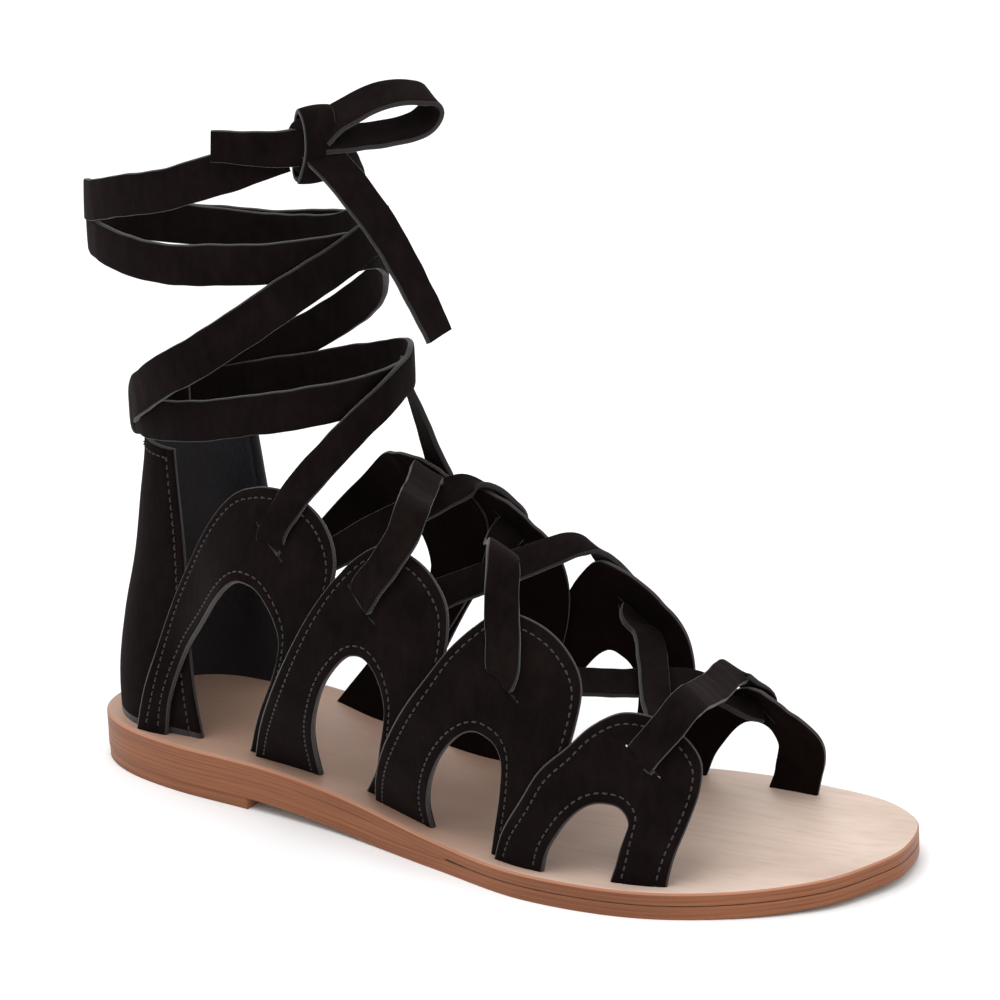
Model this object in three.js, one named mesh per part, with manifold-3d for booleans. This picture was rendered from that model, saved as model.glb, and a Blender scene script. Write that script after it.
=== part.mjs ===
// Lace-up gladiator sandal, right foot. Millimetres, +X heel to toe, +Y medial, +Z up.
// Shapes are worked out with "along" measured from the back end of the sole; the finished
// group is moved back by HEEL_REST, so that the origin lies under the middle of the heel.
import * as THREE from 'three';
import { mergeVertices } from 'three/addons/utils/BufferGeometryUtils.js';
import Module from 'manifold-3d';

const wasm = await Module();
wasm.setup();

// ---------------------------------------------------------------- driving sizes
const HEEL_REST = 32;         // from the back end of the sole to the origin
const LAYER = 3.65;           // thickness of the insole and of the outsole
const LIFT = 3.2;             // thickness of the heel lift
const LIFT_FRONT = 64;        // where the heel lift ends
const GAP = 0.3;              // between pieces that lie on each other
const WEDGE_FRONT = 138;      // where the heel wedge has run out
const FOREFOOT_TOP = 7.6;     // top of the insole at the ball
const HEEL_TOP = 14.3;        // top of the insole at the heel
const TOE_START = 205;        // where the toe spring begins
const TOE_RUN = 45;
const TOE_SPRING = 2.2;
const GROOVE = 2.6;           // depth of the grooves that take the strap feet
const FOOT_DEPTH = 2.1;       // how far a strap foot goes into its groove
const SUEDE = 2.0;            // thickness of the arches
const COUNTER = 1.8;          // thickness of the heel counter
const OVERLAP = 1.7;          // how far a back leg stands out over the arch behind it
const OVER_COUNTER = 2.3;     // the same for the leg that lies over the heel counter
const LACE_WIDTH = 10.8;
const LACE = 2.0;             // thickness of the lace
const SLOT_SLANT = 0.04;      // drop of a slot from its middle to its front end, as a share of height
const OUTSIDE = 4.3;          // stand-off from the last of a band that lies outside an arch
const INSIDE = -5;            // the same for a band that lies inside it
const LEG_MIDDLE = 1.5;       // how far the ankle ring's middle lies to the medial side
const LATERAL = -1;
const MEDIAL = 1;

// Outline of the sole, anticlockwise from the back of the heel: along, across.
const OUTLINE = [
  [0, 0], [4, 14], [16, 25.5], [37, 31], [60, 28.5], [80, 22.8], [103, 19.8], [125, 21.5], [146, 29],
  [166, 36], [186, 40.5], [207, 41.5], [229, 38], [245, 26], [250.5, 8], [247.5, -6], [239.5, -20.5],
  [221, -35.5], [196, -46.5], [165, -49], [135, -42.5], [100, -34.5], [65, -30.5], [38, -28],
  [17, -22.5], [4, -13],
];

// Last: along; height and place across of the ridge; bulge of the sides; roundness of the section.
const LAST = {
  along: [10, 45, 80, 112, 135, 155, 175, 190, 210, 235],
  ridge: [110, 110, 107, 102, 96, 87, 75, 64, 51, 40],
  across: [2.5, 2.0, 0.5, -1, -1, -1, -1, -1, -0.5, 0],
  bulge: [9, 15, 17.5, 15.5, 10.5, 5, 2, 1, 0, 0],
  round: [3.2, 3.2, 3.2, 2.9, 2.4, 2.1, 1.9, 1.7, 1.6, 1.6],
};

// Back of the heel by height (0 insole, 1 ridge): centre and radius of its half circle, and its middle.
const HEEL = {
  height: [-0.05, 0.13, 0.30, 0.50, 0.69, 0.85, 1.10],
  centre: [27.5, 28, 30.2, 34.4, 36.7, 38.2, 38.5],
  radius: [22.3, 22.6, 21.6, 20.6, 19.6, 18.6, 18.4],
  middle: [3.3, 3.1, 2.8, 2.4, 2.0, 1.7, 1.5],
};
const HEEL_BLEND = 40;        // length over which the heel's section turns into the foot's

// How far the strap feet stand in from the edge of the sole.
const INSET = {
  along: [0, 60, 110, 160, 200, 250],
  lateral: [8, 9.5, 10, 7.5, 6.5, 6.5],
  medial: [8, 8, 7.5, 7.5, 8, 8],
};

// Ring that the ankle ties are wound on, by height: place of its middle and its two half axes.
const RING = {
  height: [90, 106, 125, 150, 200],
  centre: [57.5, 57.5, 54.5, 49.5, 49.3],
  long: [40.1, 40.1, 43, 42.3, 41.7],
  wide: [26, 27, 31, 32, 32],
};

// Arches of the lateral side, heel to toe. A row is a section across the leather, from the back
// foot over the crown to the front foot: the outer edge, then the edge of the opening.
const ARCHES = [
  { name: 'heel quarter', slots: { lateral: [80.5, 0.73], medial: [92, 0.755] }, rows: [
    [22, 0.00, 32, 0.00], [26, 0.15, 35, 0.12], [34, 0.35, 43, 0.27], [43, 0.51, 54, 0.40],
    [53, 0.66, 64, 0.52], [65, 0.81, 71, 0.595], [79, 0.855, 76, 0.605], [92, 0.83, 80, 0.58],
    [100, 0.76, 84, 0.52], [101, 0.66, 85, 0.45], [96, 0.45, 81, 0.34], [88, 0.22, 71, 0.18],
    [80, 0.00, 60, 0.00] ] },
  { name: 'instep back', slots: { lateral: [113, 0.665], medial: [121, 0.72] }, rows: [
    [63, 0.00, 87, 0.00], [72, 0.16, 90, 0.12], [83, 0.34, 94, 0.24], [92, 0.50, 100, 0.37],
    [99, 0.63, 105, 0.45], [106, 0.74, 109, 0.50], [114, 0.815, 112, 0.52], [123, 0.82, 115, 0.52],
    [131, 0.79, 118, 0.49], [137, 0.72, 120, 0.43], [138, 0.58, 120, 0.36], [134, 0.38, 117, 0.26],
    [127, 0.18, 111, 0.13], [121, 0.00, 102, 0.00] ] },
  { name: 'instep front', slots: { lateral: [156, 0.61], medial: [158, 0.60] }, rows: [
    [107, 0.00, 130, 0.00], [112, 0.12, 131, 0.10], [118, 0.24, 134, 0.20], [126, 0.39, 138, 0.29],
    [134, 0.53, 142, 0.36], [141, 0.66, 145, 0.40], [150, 0.78, 148, 0.425], [160, 0.81, 151, 0.43],
    [169, 0.79, 155, 0.41], [175, 0.72, 157, 0.36], [176, 0.58, 157, 0.29], [174, 0.39, 156, 0.20],
    [170, 0.19, 154, 0.11], [167, 0.00, 151, 0.00] ] },
  { name: 'toe', slots: { lateral: [193, 0.565], medial: [194, 0.43] }, rows: [
    [154, 0.00, 170, 0.00], [158, 0.12, 172, 0.09], [164, 0.26, 175, 0.17], [169, 0.39, 178, 0.24],
    [175, 0.50, 181, 0.295], [180, 0.61, 184, 0.33], [186, 0.70, 187, 0.345], [194, 0.74, 190, 0.345],
    [202, 0.725, 192, 0.32], [207, 0.66, 193, 0.28], [208.5, 0.53, 192.5, 0.23], [207.5, 0.35, 191.5, 0.16],
    [205.5, 0.17, 190.5, 0.08], [204, 0.00, 189, 0.00] ] },
];

// The medial arches are the same patterns, moved forward at the foot and at the crown, with the
// outer edge and the edge of the opening raised or lowered.
const MEDIAL_ARCH = [
  { foot: 1, crown: 13, outer: 0.985, opening: 1.0 },
  { foot: 2, crown: -2, outer: 1.0, opening: 1.0 },
  { foot: 1, crown: -1.5, outer: 0.95, opening: 0.95 },
  { foot: 6, crown: 7, outer: 0.76, opening: 0.98 },
];

// Where the two risers of the ties leave the first arches: along, height, stand-off.
const RISER_FOOT = { lateral: [82, 0.75, OUTSIDE + 0.8], medial: [98, 0.79, OUTSIDE] };

// Ankle ties on the ring, from the front of the ankle: angle (0 toe, 90 medial), height, stand-off.
const TIE_FROM_MEDIAL = [
  [30, 122, 0.5], [10, 121, 0.5], [-28, 119, -0.5], [-65, 116, -0.5], [-93, 112, -0.5], [-125, 108, 0.3],
  [-155, 106, 0.1], [180, 105.5, 0.1], [155, 106, 0.1], [131, 108, 0.3], [102, 118, 0], [81, 127, 0],
  [61, 136, 0], [41, 146, 0], [20, 154, 0], [0, 157.5, 0], [-26, 158.5, 0], [-67, 158, 0], [-94, 157, 0],
  [-122, 158, 0],
  [-150, 158, 0], [180, 156.5, 0], [150, 153, 0], [111, 150, 0], [80, 151.5, -0.5], [58, 156, -1.5],
  [38, 163, -3], [18, 171.5, -5], [0, 180, -5], [-11, 185.5, -4],
];
const TIE_FROM_LATERAL = [
  [4, 118, -1], [25, 121, -1], [45, 119, -0.5], [70, 114.5, 0], [100, 109, 0], [130, 105.5, 0.3],
  [155, 105, 0.1], [180, 105.5, 0.1], [-155, 107.5, 0], [-127, 115, 1], [-99, 126, 1], [-82, 133, 1],
  [-57, 144, 1], [-36, 152, 1], [-15, 158, 1.7], [5, 161, 1.7], [30, 160, 1.5], [55, 156, 1.5],
  [85, 152, 1.6], [111, 150.5, 1.7],
  [149, 153, 1.2], [180, 160, 0.4], [-155, 166, 0.2], [-135, 169, 0], [-115, 173, 0], [-88, 178, 0],
  [-72, 182, 0], [-54, 186, -1], [-40, 188.5, -1.6],
];
const TUNNEL = { low: 98.8, high: 113.6, reach: 0.38, depth: 4.9, wall: 1.2 };

// Bow: middle of its knot, and the routes of the lace's loop and ends (along, across, height).
const KNOT = [87, -14, 190.4];
const KNOT_SIZE = [13.5, 8.5, 19];
const LOOP_ROUTE = [
  [91.5, -10, 196.3], [94.5, -5.6, 198.7], [97.7, -0.7, 200.6], [101.4, 4.9, 201.2], [104.6, 9.7, 200.6],
  [106.8, 13.1, 199], [107.2, 13.9, 195.8], [105.8, 11.7, 192.4], [103.3, 7.9, 190.8], [99.5, 2.1, 190.5],
  [95.5, -4, 190.6], [92.6, -8.4, 190.6],
];
const END_ROUTE = [
  [92.2, -15.4, 186.6], [95.2, -15.2, 184], [98.5, -14.8, 180.6], [102, -14.3, 176.4],
  [105.6, -13.6, 171.4], [109.2, -12.8, 165.6], [112.6, -11.9, 159.2], [115.8, -11, 152.4],
  [118.8, -10.2, 145.8], [121.4, -9.6, 139.6],
];
const SHORT_END_ROUTE = [
  [83, -21.9, 190.4], [79.1, -25.7, 190.9], [75.1, -28.8, 191.3], [71.1, -31.5, 191.5],
  [67.5, -33.5, 191.6],
];

// Bands over the throat. Each runs through places on the last: along, height, side, stand-off. One
// that ends outside an arch lies on the leather there, and first clears the arch's upper edge.
const CROSSINGS = {
  lace_front_bar: [
    [[193, 0.58, LATERAL, OUTSIDE], [196, 0.70, LATERAL, OUTSIDE], [199, 0.82, LATERAL, OUTSIDE],
      [184, 0.51, MEDIAL, OUTSIDE], [189, 0.43, MEDIAL, OUTSIDE]],
  ],
  lace_crossing_toe: [
    [[166, 0.62, MEDIAL, INSIDE], [200, 0.60, LATERAL, INSIDE]],
    [[157, 0.63, LATERAL, INSIDE], [183, 0.53, MEDIAL, INSIDE]],
  ],
  lace_crossing_instep: [
    [[121, 0.70, MEDIAL, INSIDE], [150, 0.82, LATERAL, OUTSIDE], [153, 0.75, LATERAL, OUTSIDE],
      [156, 0.64, LATERAL, OUTSIDE]],
    [[115, 0.69, LATERAL, INSIDE], [146, 0.74, MEDIAL, OUTSIDE], [151, 0.69, MEDIAL, OUTSIDE],
      [156, 0.61, MEDIAL, OUTSIDE]],
  ],
  lace_crossing_top: [
    [[102, 0.86, MEDIAL, INSIDE], [120, 0.85, LATERAL, OUTSIDE], [118, 0.77, LATERAL, OUTSIDE],
      [114, 0.68, LATERAL, OUTSIDE]],
    [[86, 0.67, LATERAL, INSIDE], [107, 0.86, MEDIAL, INSIDE]],
  ],
};

// ---------------------------------------------------------------- small tools
const V = (x, y, z) => new THREE.Vector3(x, y, z);
const clamp = (value) => Math.min(Math.max(value, 0), 1);
const smooth = (value) => clamp(value) ** 2 * (3 - 2 * clamp(value));
const mix = (a, b, share) => a + (b - a) * share;

// Slope of a table's column at row i, by the neighbouring rows on both sides.
function slope(xs, ys, i) {
  const last = xs.length - 1;
  if (i === 0) return (ys[1] - ys[0]) / (xs[1] - xs[0]);
  if (i === last) return (ys[last] - ys[last - 1]) / (xs[last] - xs[last - 1]);
  const before = xs[i] - xs[i - 1];
  const after = xs[i + 1] - xs[i];
  const rise = (ys[i] - ys[i - 1]) / before * after + (ys[i + 1] - ys[i]) / after * before;
  return rise / (before + after);
}

// Value of a table's column at x, on smooth cubics through its rows.
function column(xs, ys, x) {
  const at = Math.min(Math.max(x, xs[0]), xs[xs.length - 1]);
  let i = 0;
  while (i < xs.length - 2 && at >= xs[i + 1]) i += 1;
  const run = xs[i + 1] - xs[i];
  const t = (at - xs[i]) / run;
  return (1 + 2 * t) * (1 - t) ** 2 * ys[i] + t * (1 - t) ** 2 * run * slope(xs, ys, i)
    + t * t * (3 - 2 * t) * ys[i + 1] + t * t * (t - 1) * run * slope(xs, ys, i + 1);
}

// Rows of numbers read as a smooth curve, at a share from 0 to 1 of its rows.
function alongRows(rows, share) {
  const steps = rows.map((row, i) => i);
  return rows[0].map((unused, c) => column(steps, rows.map((row) => row[c]), share * (rows.length - 1)));
}

// Closed slab between an under and an upper grid of points with the same rows and columns.
function slab(under, upper) {
  const rows = under.length;
  const cols = under[0].length;
  const points = [...under.flat(), ...upper.flat()];
  const id = (side, i, j) => side * rows * cols + i * cols + j;
  const index = [];
  const quad = (a, b, c, d) => index.push(a, b, c, a, c, d);
  for (let i = 0; i < rows - 1; i += 1) {
    for (let j = 0; j < cols - 1; j += 1) {
      quad(id(0, i, j), id(0, i, j + 1), id(0, i + 1, j + 1), id(0, i + 1, j));
      quad(id(1, i, j), id(1, i + 1, j), id(1, i + 1, j + 1), id(1, i, j + 1));
    }
    quad(id(0, i, 0), id(0, i + 1, 0), id(1, i + 1, 0), id(1, i, 0));
    quad(id(0, i + 1, cols - 1), id(0, i, cols - 1), id(1, i, cols - 1), id(1, i + 1, cols - 1));
  }
  for (let j = 0; j < cols - 1; j += 1) {
    quad(id(0, 0, j + 1), id(0, 0, j), id(1, 0, j), id(1, 0, j + 1));
    quad(id(0, rows - 1, j), id(0, rows - 1, j + 1), id(1, rows - 1, j + 1), id(1, rows - 1, j));
  }
  return outward(points, index);
}

// Geometry of a closed triangle mesh, turned so that its faces point out.
function outward(points, index) {
  let volume = 0;
  for (let i = 0; i < index.length; i += 3) {
    const [a, b, c] = [points[index[i]], points[index[i + 1]], points[index[i + 2]]];
    volume += a.dot(b.clone().cross(c));
  }
  const ordered = volume > 0 ? index : index.slice().reverse();
  const geometry = new THREE.BufferGeometry();
  const numbers = points.flatMap((p) => p.toArray());
  geometry.setAttribute('position', new THREE.Float32BufferAttribute(numbers, 3));
  geometry.setIndex(ordered);
  return geometry;
}

// Solid of a geometry, for cuts and joins.
function solid(geometry) {
  const bare = geometry.clone();
  bare.deleteAttribute('normal');
  bare.deleteAttribute('uv');
  const merged = mergeVertices(bare, 1e-4);
  return new wasm.Manifold(new wasm.Mesh({
    numProp: 3,
    vertProperties: new Float32Array(merged.attributes.position.array),
    triVerts: new Uint32Array(merged.index.array),
  }));
}

// The main body of a solid, without the slivers that a cut along its own face leaves.
function largest(body) {
  return body.decompose().reduce((best, part) => (part.volume() > best.volume() ? part : best));
}

// Geometry of a solid.
function geometryOf(body) {
  const mesh = body.getMesh();
  const geometry = new THREE.BufferGeometry();
  geometry.setAttribute('position', new THREE.BufferAttribute(new Float32Array(mesh.vertProperties), 3));
  geometry.setIndex(new THREE.BufferAttribute(new Uint32Array(mesh.triVerts), 1));
  return geometry;
}

// ---------------------------------------------------------------- sole
const SOLE_CURVE = closedCurve(OUTLINE, 20);

// Points of the closed smooth curve through rows of (along, across), with some steps between rows.
function closedCurve(rows, steps) {
  const curve = new THREE.CatmullRomCurve3(rows.map(([x, y]) => V(x, y, 0)), true, 'catmullrom', 0.5);
  return curve.getPoints(rows.length * steps).slice(0, -1);
}

// Place across of the sole's edge at a station along it, on one side.
function edge(along, side) {
  let best = 0;
  SOLE_CURVE.forEach((p, i) => {
    const q = SOLE_CURVE[(i + 1) % SOLE_CURVE.length];
    const heads = side === MEDIAL ? q.x > p.x : q.x < p.x;
    const inside = (along - p.x) * (along - q.x) <= 0 && p.x !== q.x;
    if (!heads || !inside) return;
    best = mix(p.y, q.y, (along - p.x) / (q.x - p.x));
  });
  return best;
}

// Height of the insole's top: high at the heel, level at the ball, sprung at the toe.
function insoleTop(along) {
  const spring = TOE_SPRING * clamp((along - TOE_START) / TOE_RUN) ** 2;
  return HEEL_TOP - (HEEL_TOP - FOREFOOT_TOP) * smooth((along - LIFT_FRONT) / 88) + spring;
}

// Height of the outsole's bottom: on the heel lift, then down to the ground, then the toe spring.
function outsoleBottom(along) {
  const spring = TOE_SPRING * clamp((along - TOE_START) / TOE_RUN) ** 2;
  return (LIFT + GAP) * (1 - smooth((along - LIFT_FRONT) / 58)) + spring;
}

// Layer with the sole's outline between two heights, from one station to another, drawn in by a margin.
function soleLayer(from, to, bottom, top, margin) {
  const stations = 34;
  const start = Math.max(from, SOLE_BACK + margin);
  const end = Math.min(to, SOLE_TIP - margin);
  const under = [];
  const upper = [];
  for (let i = 0; i <= stations; i += 1) {
    const share = i / stations;
    const round = 0.5 - 0.5 * Math.cos(Math.PI * share);
    const square = mix(round, 1 - Math.cos(Math.PI * share / 2), 0.5);
    const x = mix(start, end, end < SOLE_TIP - margin ? square : round);
    const inner = Math.min(Math.max(x, SOLE_BACK + 0.12), SOLE_TIP - 0.12);
    const lateral = edge(inner, LATERAL) + margin;
    const medial = edge(inner, MEDIAL) - margin;
    const across = [0, 0.5, 1].map((c) => mix(Math.min(lateral, medial - 0.5), medial, c));
    under.push(across.map((y) => V(x, y, bottom(x))));
    upper.push(across.map((y) => V(x, y, top(x))));
  }
  return slab(under, upper);
}
const SOLE_BACK = Math.min(...SOLE_CURVE.map((p) => p.x));
const SOLE_TIP = Math.max(...SOLE_CURVE.map((p) => p.x));

// ---------------------------------------------------------------- last
// Point on the last: along its foot line (wrapped round the back of the heel), height from 0 at
// the insole to 1 at the ridge, side, and distance out from the surface.
function last(along, height, side, out = 0) {
  const base = lastSurface(along, height, side);
  if (out === 0) return base;
  const forward = lastSurface(along + 0.4, height, side).sub(lastSurface(along - 0.4, height, side));
  const upward = lastSurface(along, height + 0.008, side).sub(lastSurface(along, height - 0.008, side));
  return base.addScaledVector(forward.cross(upward).multiplyScalar(-side).normalize(), out);
}

function lastSurface(along, height, side) {
  const centre = column(HEEL.height, HEEL.centre, height);
  const radius = column(HEEL.height, HEEL.radius, height);
  const middle = column(HEEL.height, HEEL.middle, height);
  const wrap = Math.max(centre - along, 0) / radius;
  const x = Math.max(along, centre);
  const section = (name) => column(LAST.along, LAST[name], x);
  const inset = column(INSET.along, side === MEDIAL ? INSET.medial : INSET.lateral, x);
  const foot = Math.abs(edge(x, side) - side * inset - section('across'));
  const h = clamp(height);
  const round = section('round');
  const free = foot * (1 - h ** round) ** (1 / round) + section('bulge') * Math.sin(Math.PI * h);
  const share = smooth((x - centre) / HEEL_BLEND);
  const half = mix(radius, free, share);
  const across = mix(middle, section('across'), share);
  const floor = insoleTop(x);
  return V(x - radius * Math.sin(wrap), across + side * half * Math.cos(wrap),
    floor + height * (section('ridge') - floor));
}

// Height share that lies some millimetres under the insole's top.
const sunk = (along, depth) => -depth / (column(LAST.along, LAST.ridge, along) - insoleTop(along));

// ---------------------------------------------------------------- arches
// Rows of one arch on one side, with its two feet carried down into their grooves.
function archRows(number, side) {
  const { foot, crown, outer, opening } = MEDIAL_ARCH[number];
  const tallest = 0.85;
  const move = (x, h, rise) => (side === LATERAL ? [x, h] : [x + mix(foot, crown, h / tallest), h * rise]);
  const rows = ARCHES[number].rows.map(([ox, oh, ix, ih]) => (
    [...move(ox, oh, outer), ...move(ix, ih, opening)]));
  const sink = ([ox, , ix]) => [ox, sunk(ox, FOOT_DEPTH), ix, sunk(ix, FOOT_DEPTH)];
  return { before: sink(rows[0]), rows, after: sink(rows[rows.length - 1]) };
}

// One arch as a wall of leather: its back leg lies out over its neighbour, its front leg against the last.
function archSolid(number, side) {
  const { before, rows, after } = archRows(number, side);
  const lengthwise = 24;
  const crosswise = 2;
  const lifted = number === 0 ? OVER_COUNTER : OVERLAP;
  const under = [];
  const upper = [];
  const section = ([ox, oh, ix, ih], share) => {
    const out = lifted * (1 - smooth((share - 0.42) / 0.3));
    const across = (offset) => Array.from({ length: crosswise + 1 }, (unused, j) => (
      last(mix(ox, ix, j / crosswise), mix(oh, ih, j / crosswise), side, offset)));
    under.push(across(out));
    upper.push(across(out + SUEDE));
  };
  section(before, 0);
  for (let i = 0; i <= lengthwise; i += 1) section(alongRows(rows, i / lengthwise), i / lengthwise);
  section(after, 1);
  return solid(slab(under, upper));
}

// Place of an arch's lace slot on one side: along, height.
const slot = (number, side) => ARCHES[number].slots[side === LATERAL ? 'lateral' : 'medial'];

// Cutter for a lace slot: a short flat block through the wall, its long way along the foot.
function slotCutter(number, side) {
  const [x, h] = slot(number, side);
  const reach = LACE_WIDTH / 2 + 0.8;
  const under = [];
  const upper = [];
  for (const step of [-1, 0, 1]) {
    const place = (lift, out) => last(x + step * reach * 0.9, h - step * SLOT_SLANT + lift, side, out);
    under.push([place(-0.02, -1.5), place(0.02, -1.5)]);
    upper.push([place(-0.02, 6), place(0.02, 6)]);
  }
  return solid(slab(under, upper));
}

// All four arches of one side, joined where they cross.
function archesOf(side) {
  let wall = archSolid(0, side);
  for (let i = 1; i < ARCHES.length; i += 1) wall = wall.add(archSolid(i, side));
  for (let i = 0; i < ARCHES.length; i += 1) wall = wall.subtract(slotCutter(i, side));
  return geometryOf(largest(wall));
}

// ---------------------------------------------------------------- heel counter
const COUNTER_FRONT = { height: [-0.05, 0, 0.55, 0.88, 1.1], along: [43, 43, 40, 37.4, 37] };

// Point on the heel counter: round it from -1 (lateral front edge) by 0 (back) to 1 (medial front edge).
function counterPoint(round, height, out) {
  const radius = column(HEEL.height, HEEL.radius, height);
  const back = column(HEEL.height, HEEL.centre, height) - Math.PI / 2 * radius;
  const front = column(COUNTER_FRONT.height, COUNTER_FRONT.along, height);
  return last(mix(back, front, Math.abs(round)), height, round < 0 ? LATERAL : MEDIAL, out);
}

// Curved block that follows the counter, between two heights in millimetres and two distances out.
function counterBlock(reach, low, high, inner, outer, rounds, steps) {
  const share = (z) => (z - HEEL_TOP) / (110 - HEEL_TOP);
  const under = [];
  const upper = [];
  for (let i = 0; i <= rounds; i += 1) {
    const round = mix(-reach, reach, i / rounds);
    const heights = Array.from({ length: steps + 1 }, (unused, j) => share(mix(low, high, j / steps)));
    under.push(heights.map((h) => counterPoint(round, h, inner)));
    upper.push(heights.map((h) => counterPoint(round, h, outer)));
  }
  return solid(slab(under, upper));
}

function counter() {
  const { low, high, reach, depth, wall } = TUNNEL;
  const shell = counterBlock(1, HEEL_TOP - FOOT_DEPTH, low - 0.5, 0, COUNTER, 24, 8);
  const block = counterBlock(reach, low - wall, high + wall, 0, depth + wall, 18, 1);
  const hole = counterBlock(reach + 0.1, low, high, COUNTER, depth, 18, 1);
  return geometryOf(shell.add(block).subtract(hole));
}

// ---------------------------------------------------------------- laces
// Flat band along a path; the normals give the way its outer face looks.
function bandGeometry(path, normals, width, thickness) {
  const under = [];
  const upper = [];
  path.forEach((point, i) => {
    const ahead = path[Math.min(i + 1, path.length - 1)];
    const behind = path[Math.max(i - 1, 0)];
    const tangent = ahead.clone().sub(behind).normalize();
    const across = tangent.clone().cross(normals[i]).normalize();
    const face = across.clone().cross(tangent).normalize();
    const corner = (sideways, out) => point.clone().addScaledVector(across, sideways * width / 2)
      .addScaledVector(face, out);
    under.push([corner(-1, 0), corner(1, 0)]);
    upper.push([corner(-1, thickness), corner(1, thickness)]);
  });
  return slab(under, upper);
}

// Band over the throat, through places on the last: along, height, side, stand-off. Outside the
// leather its face looks out from the last; inside, where it bridges the throat, it looks up.
function throatBand(places) {
  const curve = new THREE.CatmullRomCurve3(places.map((place) => last(...place)), false, 'centripetal');
  const faces = places.map(([along, height, side, out]) => (
    out < 0 ? V(0, 0, 1) : last(along, height, side, 1).sub(last(along, height, side)).normalize()));
  const steps = (places.length - 1) * 4;
  const path = curve.getPoints(steps);
  const normals = path.map((point, i) => {
    const at = Math.min(Math.floor(i / 4), places.length - 2);
    return faces[at].clone().lerp(faces[at + 1], i / 4 - at).normalize();
  });
  return solid(bandGeometry(path, normals, LACE_WIDTH, LACE));
}

// Bands that cross over the throat, joined where they meet.
function crossing(routes) {
  return geometryOf(routes.map(throatBand).reduce((joined, band) => joined.add(band)));
}

// ---------------------------------------------------------------- ankle ties
// Point on the ring round the ankle.
function ring(angle, height, out) {
  const a = THREE.MathUtils.degToRad(angle);
  const half = (name) => column(RING.height, RING[name], height) + out;
  return V(column(RING.height, RING.centre, height) + half('long') * Math.cos(a),
    LEG_MIDDLE + half('wide') * Math.sin(a), height);
}

// Lower end of a riser, by a slot: point, the way up the last there, and the outward normal.
function riserEnd(side) {
  const [x, h, out] = side === LATERAL ? RISER_FOOT.lateral : RISER_FOOT.medial;
  const point = last(x, h, side, out);
  const up = last(x, h + 0.04, side, out).sub(point).normalize();
  const normal = last(x, h, side, out + 1).sub(point).normalize();
  return { point, up, normal };
}

// Tie: from a slot of the first arch up to the front of the ankle, then round it.
function tie(rows, side) {
  const start = riserEnd(side);
  let turn = 0;
  const turned = rows.map(([angle, height, out], i) => {
    if (i > 0) {
      const step = angle - rows[i - 1][0];
      turn += step - 360 * Math.round(step / 360);
    } else turn = angle;
    return [turn, height, out];
  });
  const rise = ring(...turned[0]).distanceTo(start.point) * 0.34;
  const next = ring(...turned[1]).sub(ring(...turned[0])).normalize();
  const above = start.point.clone().addScaledVector(start.up, rise);
  const riser = new THREE.CubicBezierCurve3(start.point, above,
    ring(...turned[0]).addScaledVector(next, -rise), ring(...turned[0]));
  const riserSteps = 7;
  const outwardAt = (angle, height) => ring(angle, height, 1).sub(ring(angle, height, 0)).normalize();
  const path = riser.getPoints(riserSteps).slice(0, -1);
  const normals = path.map((point, i) => start.normal.clone()
    .lerp(outwardAt(turned[0][0], turned[0][1]), i / riserSteps).normalize());
  const steps = (rows.length - 1) * 2;
  for (let i = 0; i <= steps; i += 1) {
    const [angle, height, out] = alongRows(turned, i / steps);
    path.push(ring(angle, height, out));
    normals.push(outwardAt(angle, height));
  }
  return solid(bandGeometry(path, normals, LACE_WIDTH, LACE));
}

// ---------------------------------------------------------------- bow
// Band whose width lies level, or as near to a given direction as the route lets it.
function bowBand(route, widthAlong, centred) {
  const steps = (route.length - 1) * 2;
  const path = Array.from({ length: steps + 1 }, (unused, i) => V(...alongRows(route, i / steps)));
  const normals = path.map((point, i) => {
    const tangent = path[Math.min(i + 1, steps)].clone().sub(path[Math.max(i - 1, 0)]);
    return widthAlong.clone().cross(tangent).normalize();
  });
  if (centred) path.forEach((point, i) => point.addScaledVector(normals[i], -LACE / 2));
  return bandGeometry(path, normals, LACE_WIDTH - 0.4, LACE);
}

function knot() {
  const geometry = new THREE.SphereGeometry(0.5, 14, 10);
  geometry.scale(...KNOT_SIZE);
  geometry.rotateZ(THREE.MathUtils.degToRad(57));
  geometry.translate(...KNOT);
  return geometryOf(solid(geometry));
}

// ---------------------------------------------------------------- grooves
// Groove in the insole for strap feet that stand between two stations of one side.
function groove(from, to, side, inner, outer) {
  const under = [];
  const upper = [];
  const steps = 6;
  for (let i = 0; i <= steps; i += 1) {
    const along = mix(from, to, i / steps);
    const place = (out, depth) => last(along, sunk(along, depth), side, out);
    under.push([place(inner, GROOVE), place(outer, GROOVE)]);
    upper.push([place(inner, -2), place(outer, -2)]);
  }
  return solid(slab(under, upper));
}

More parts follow.
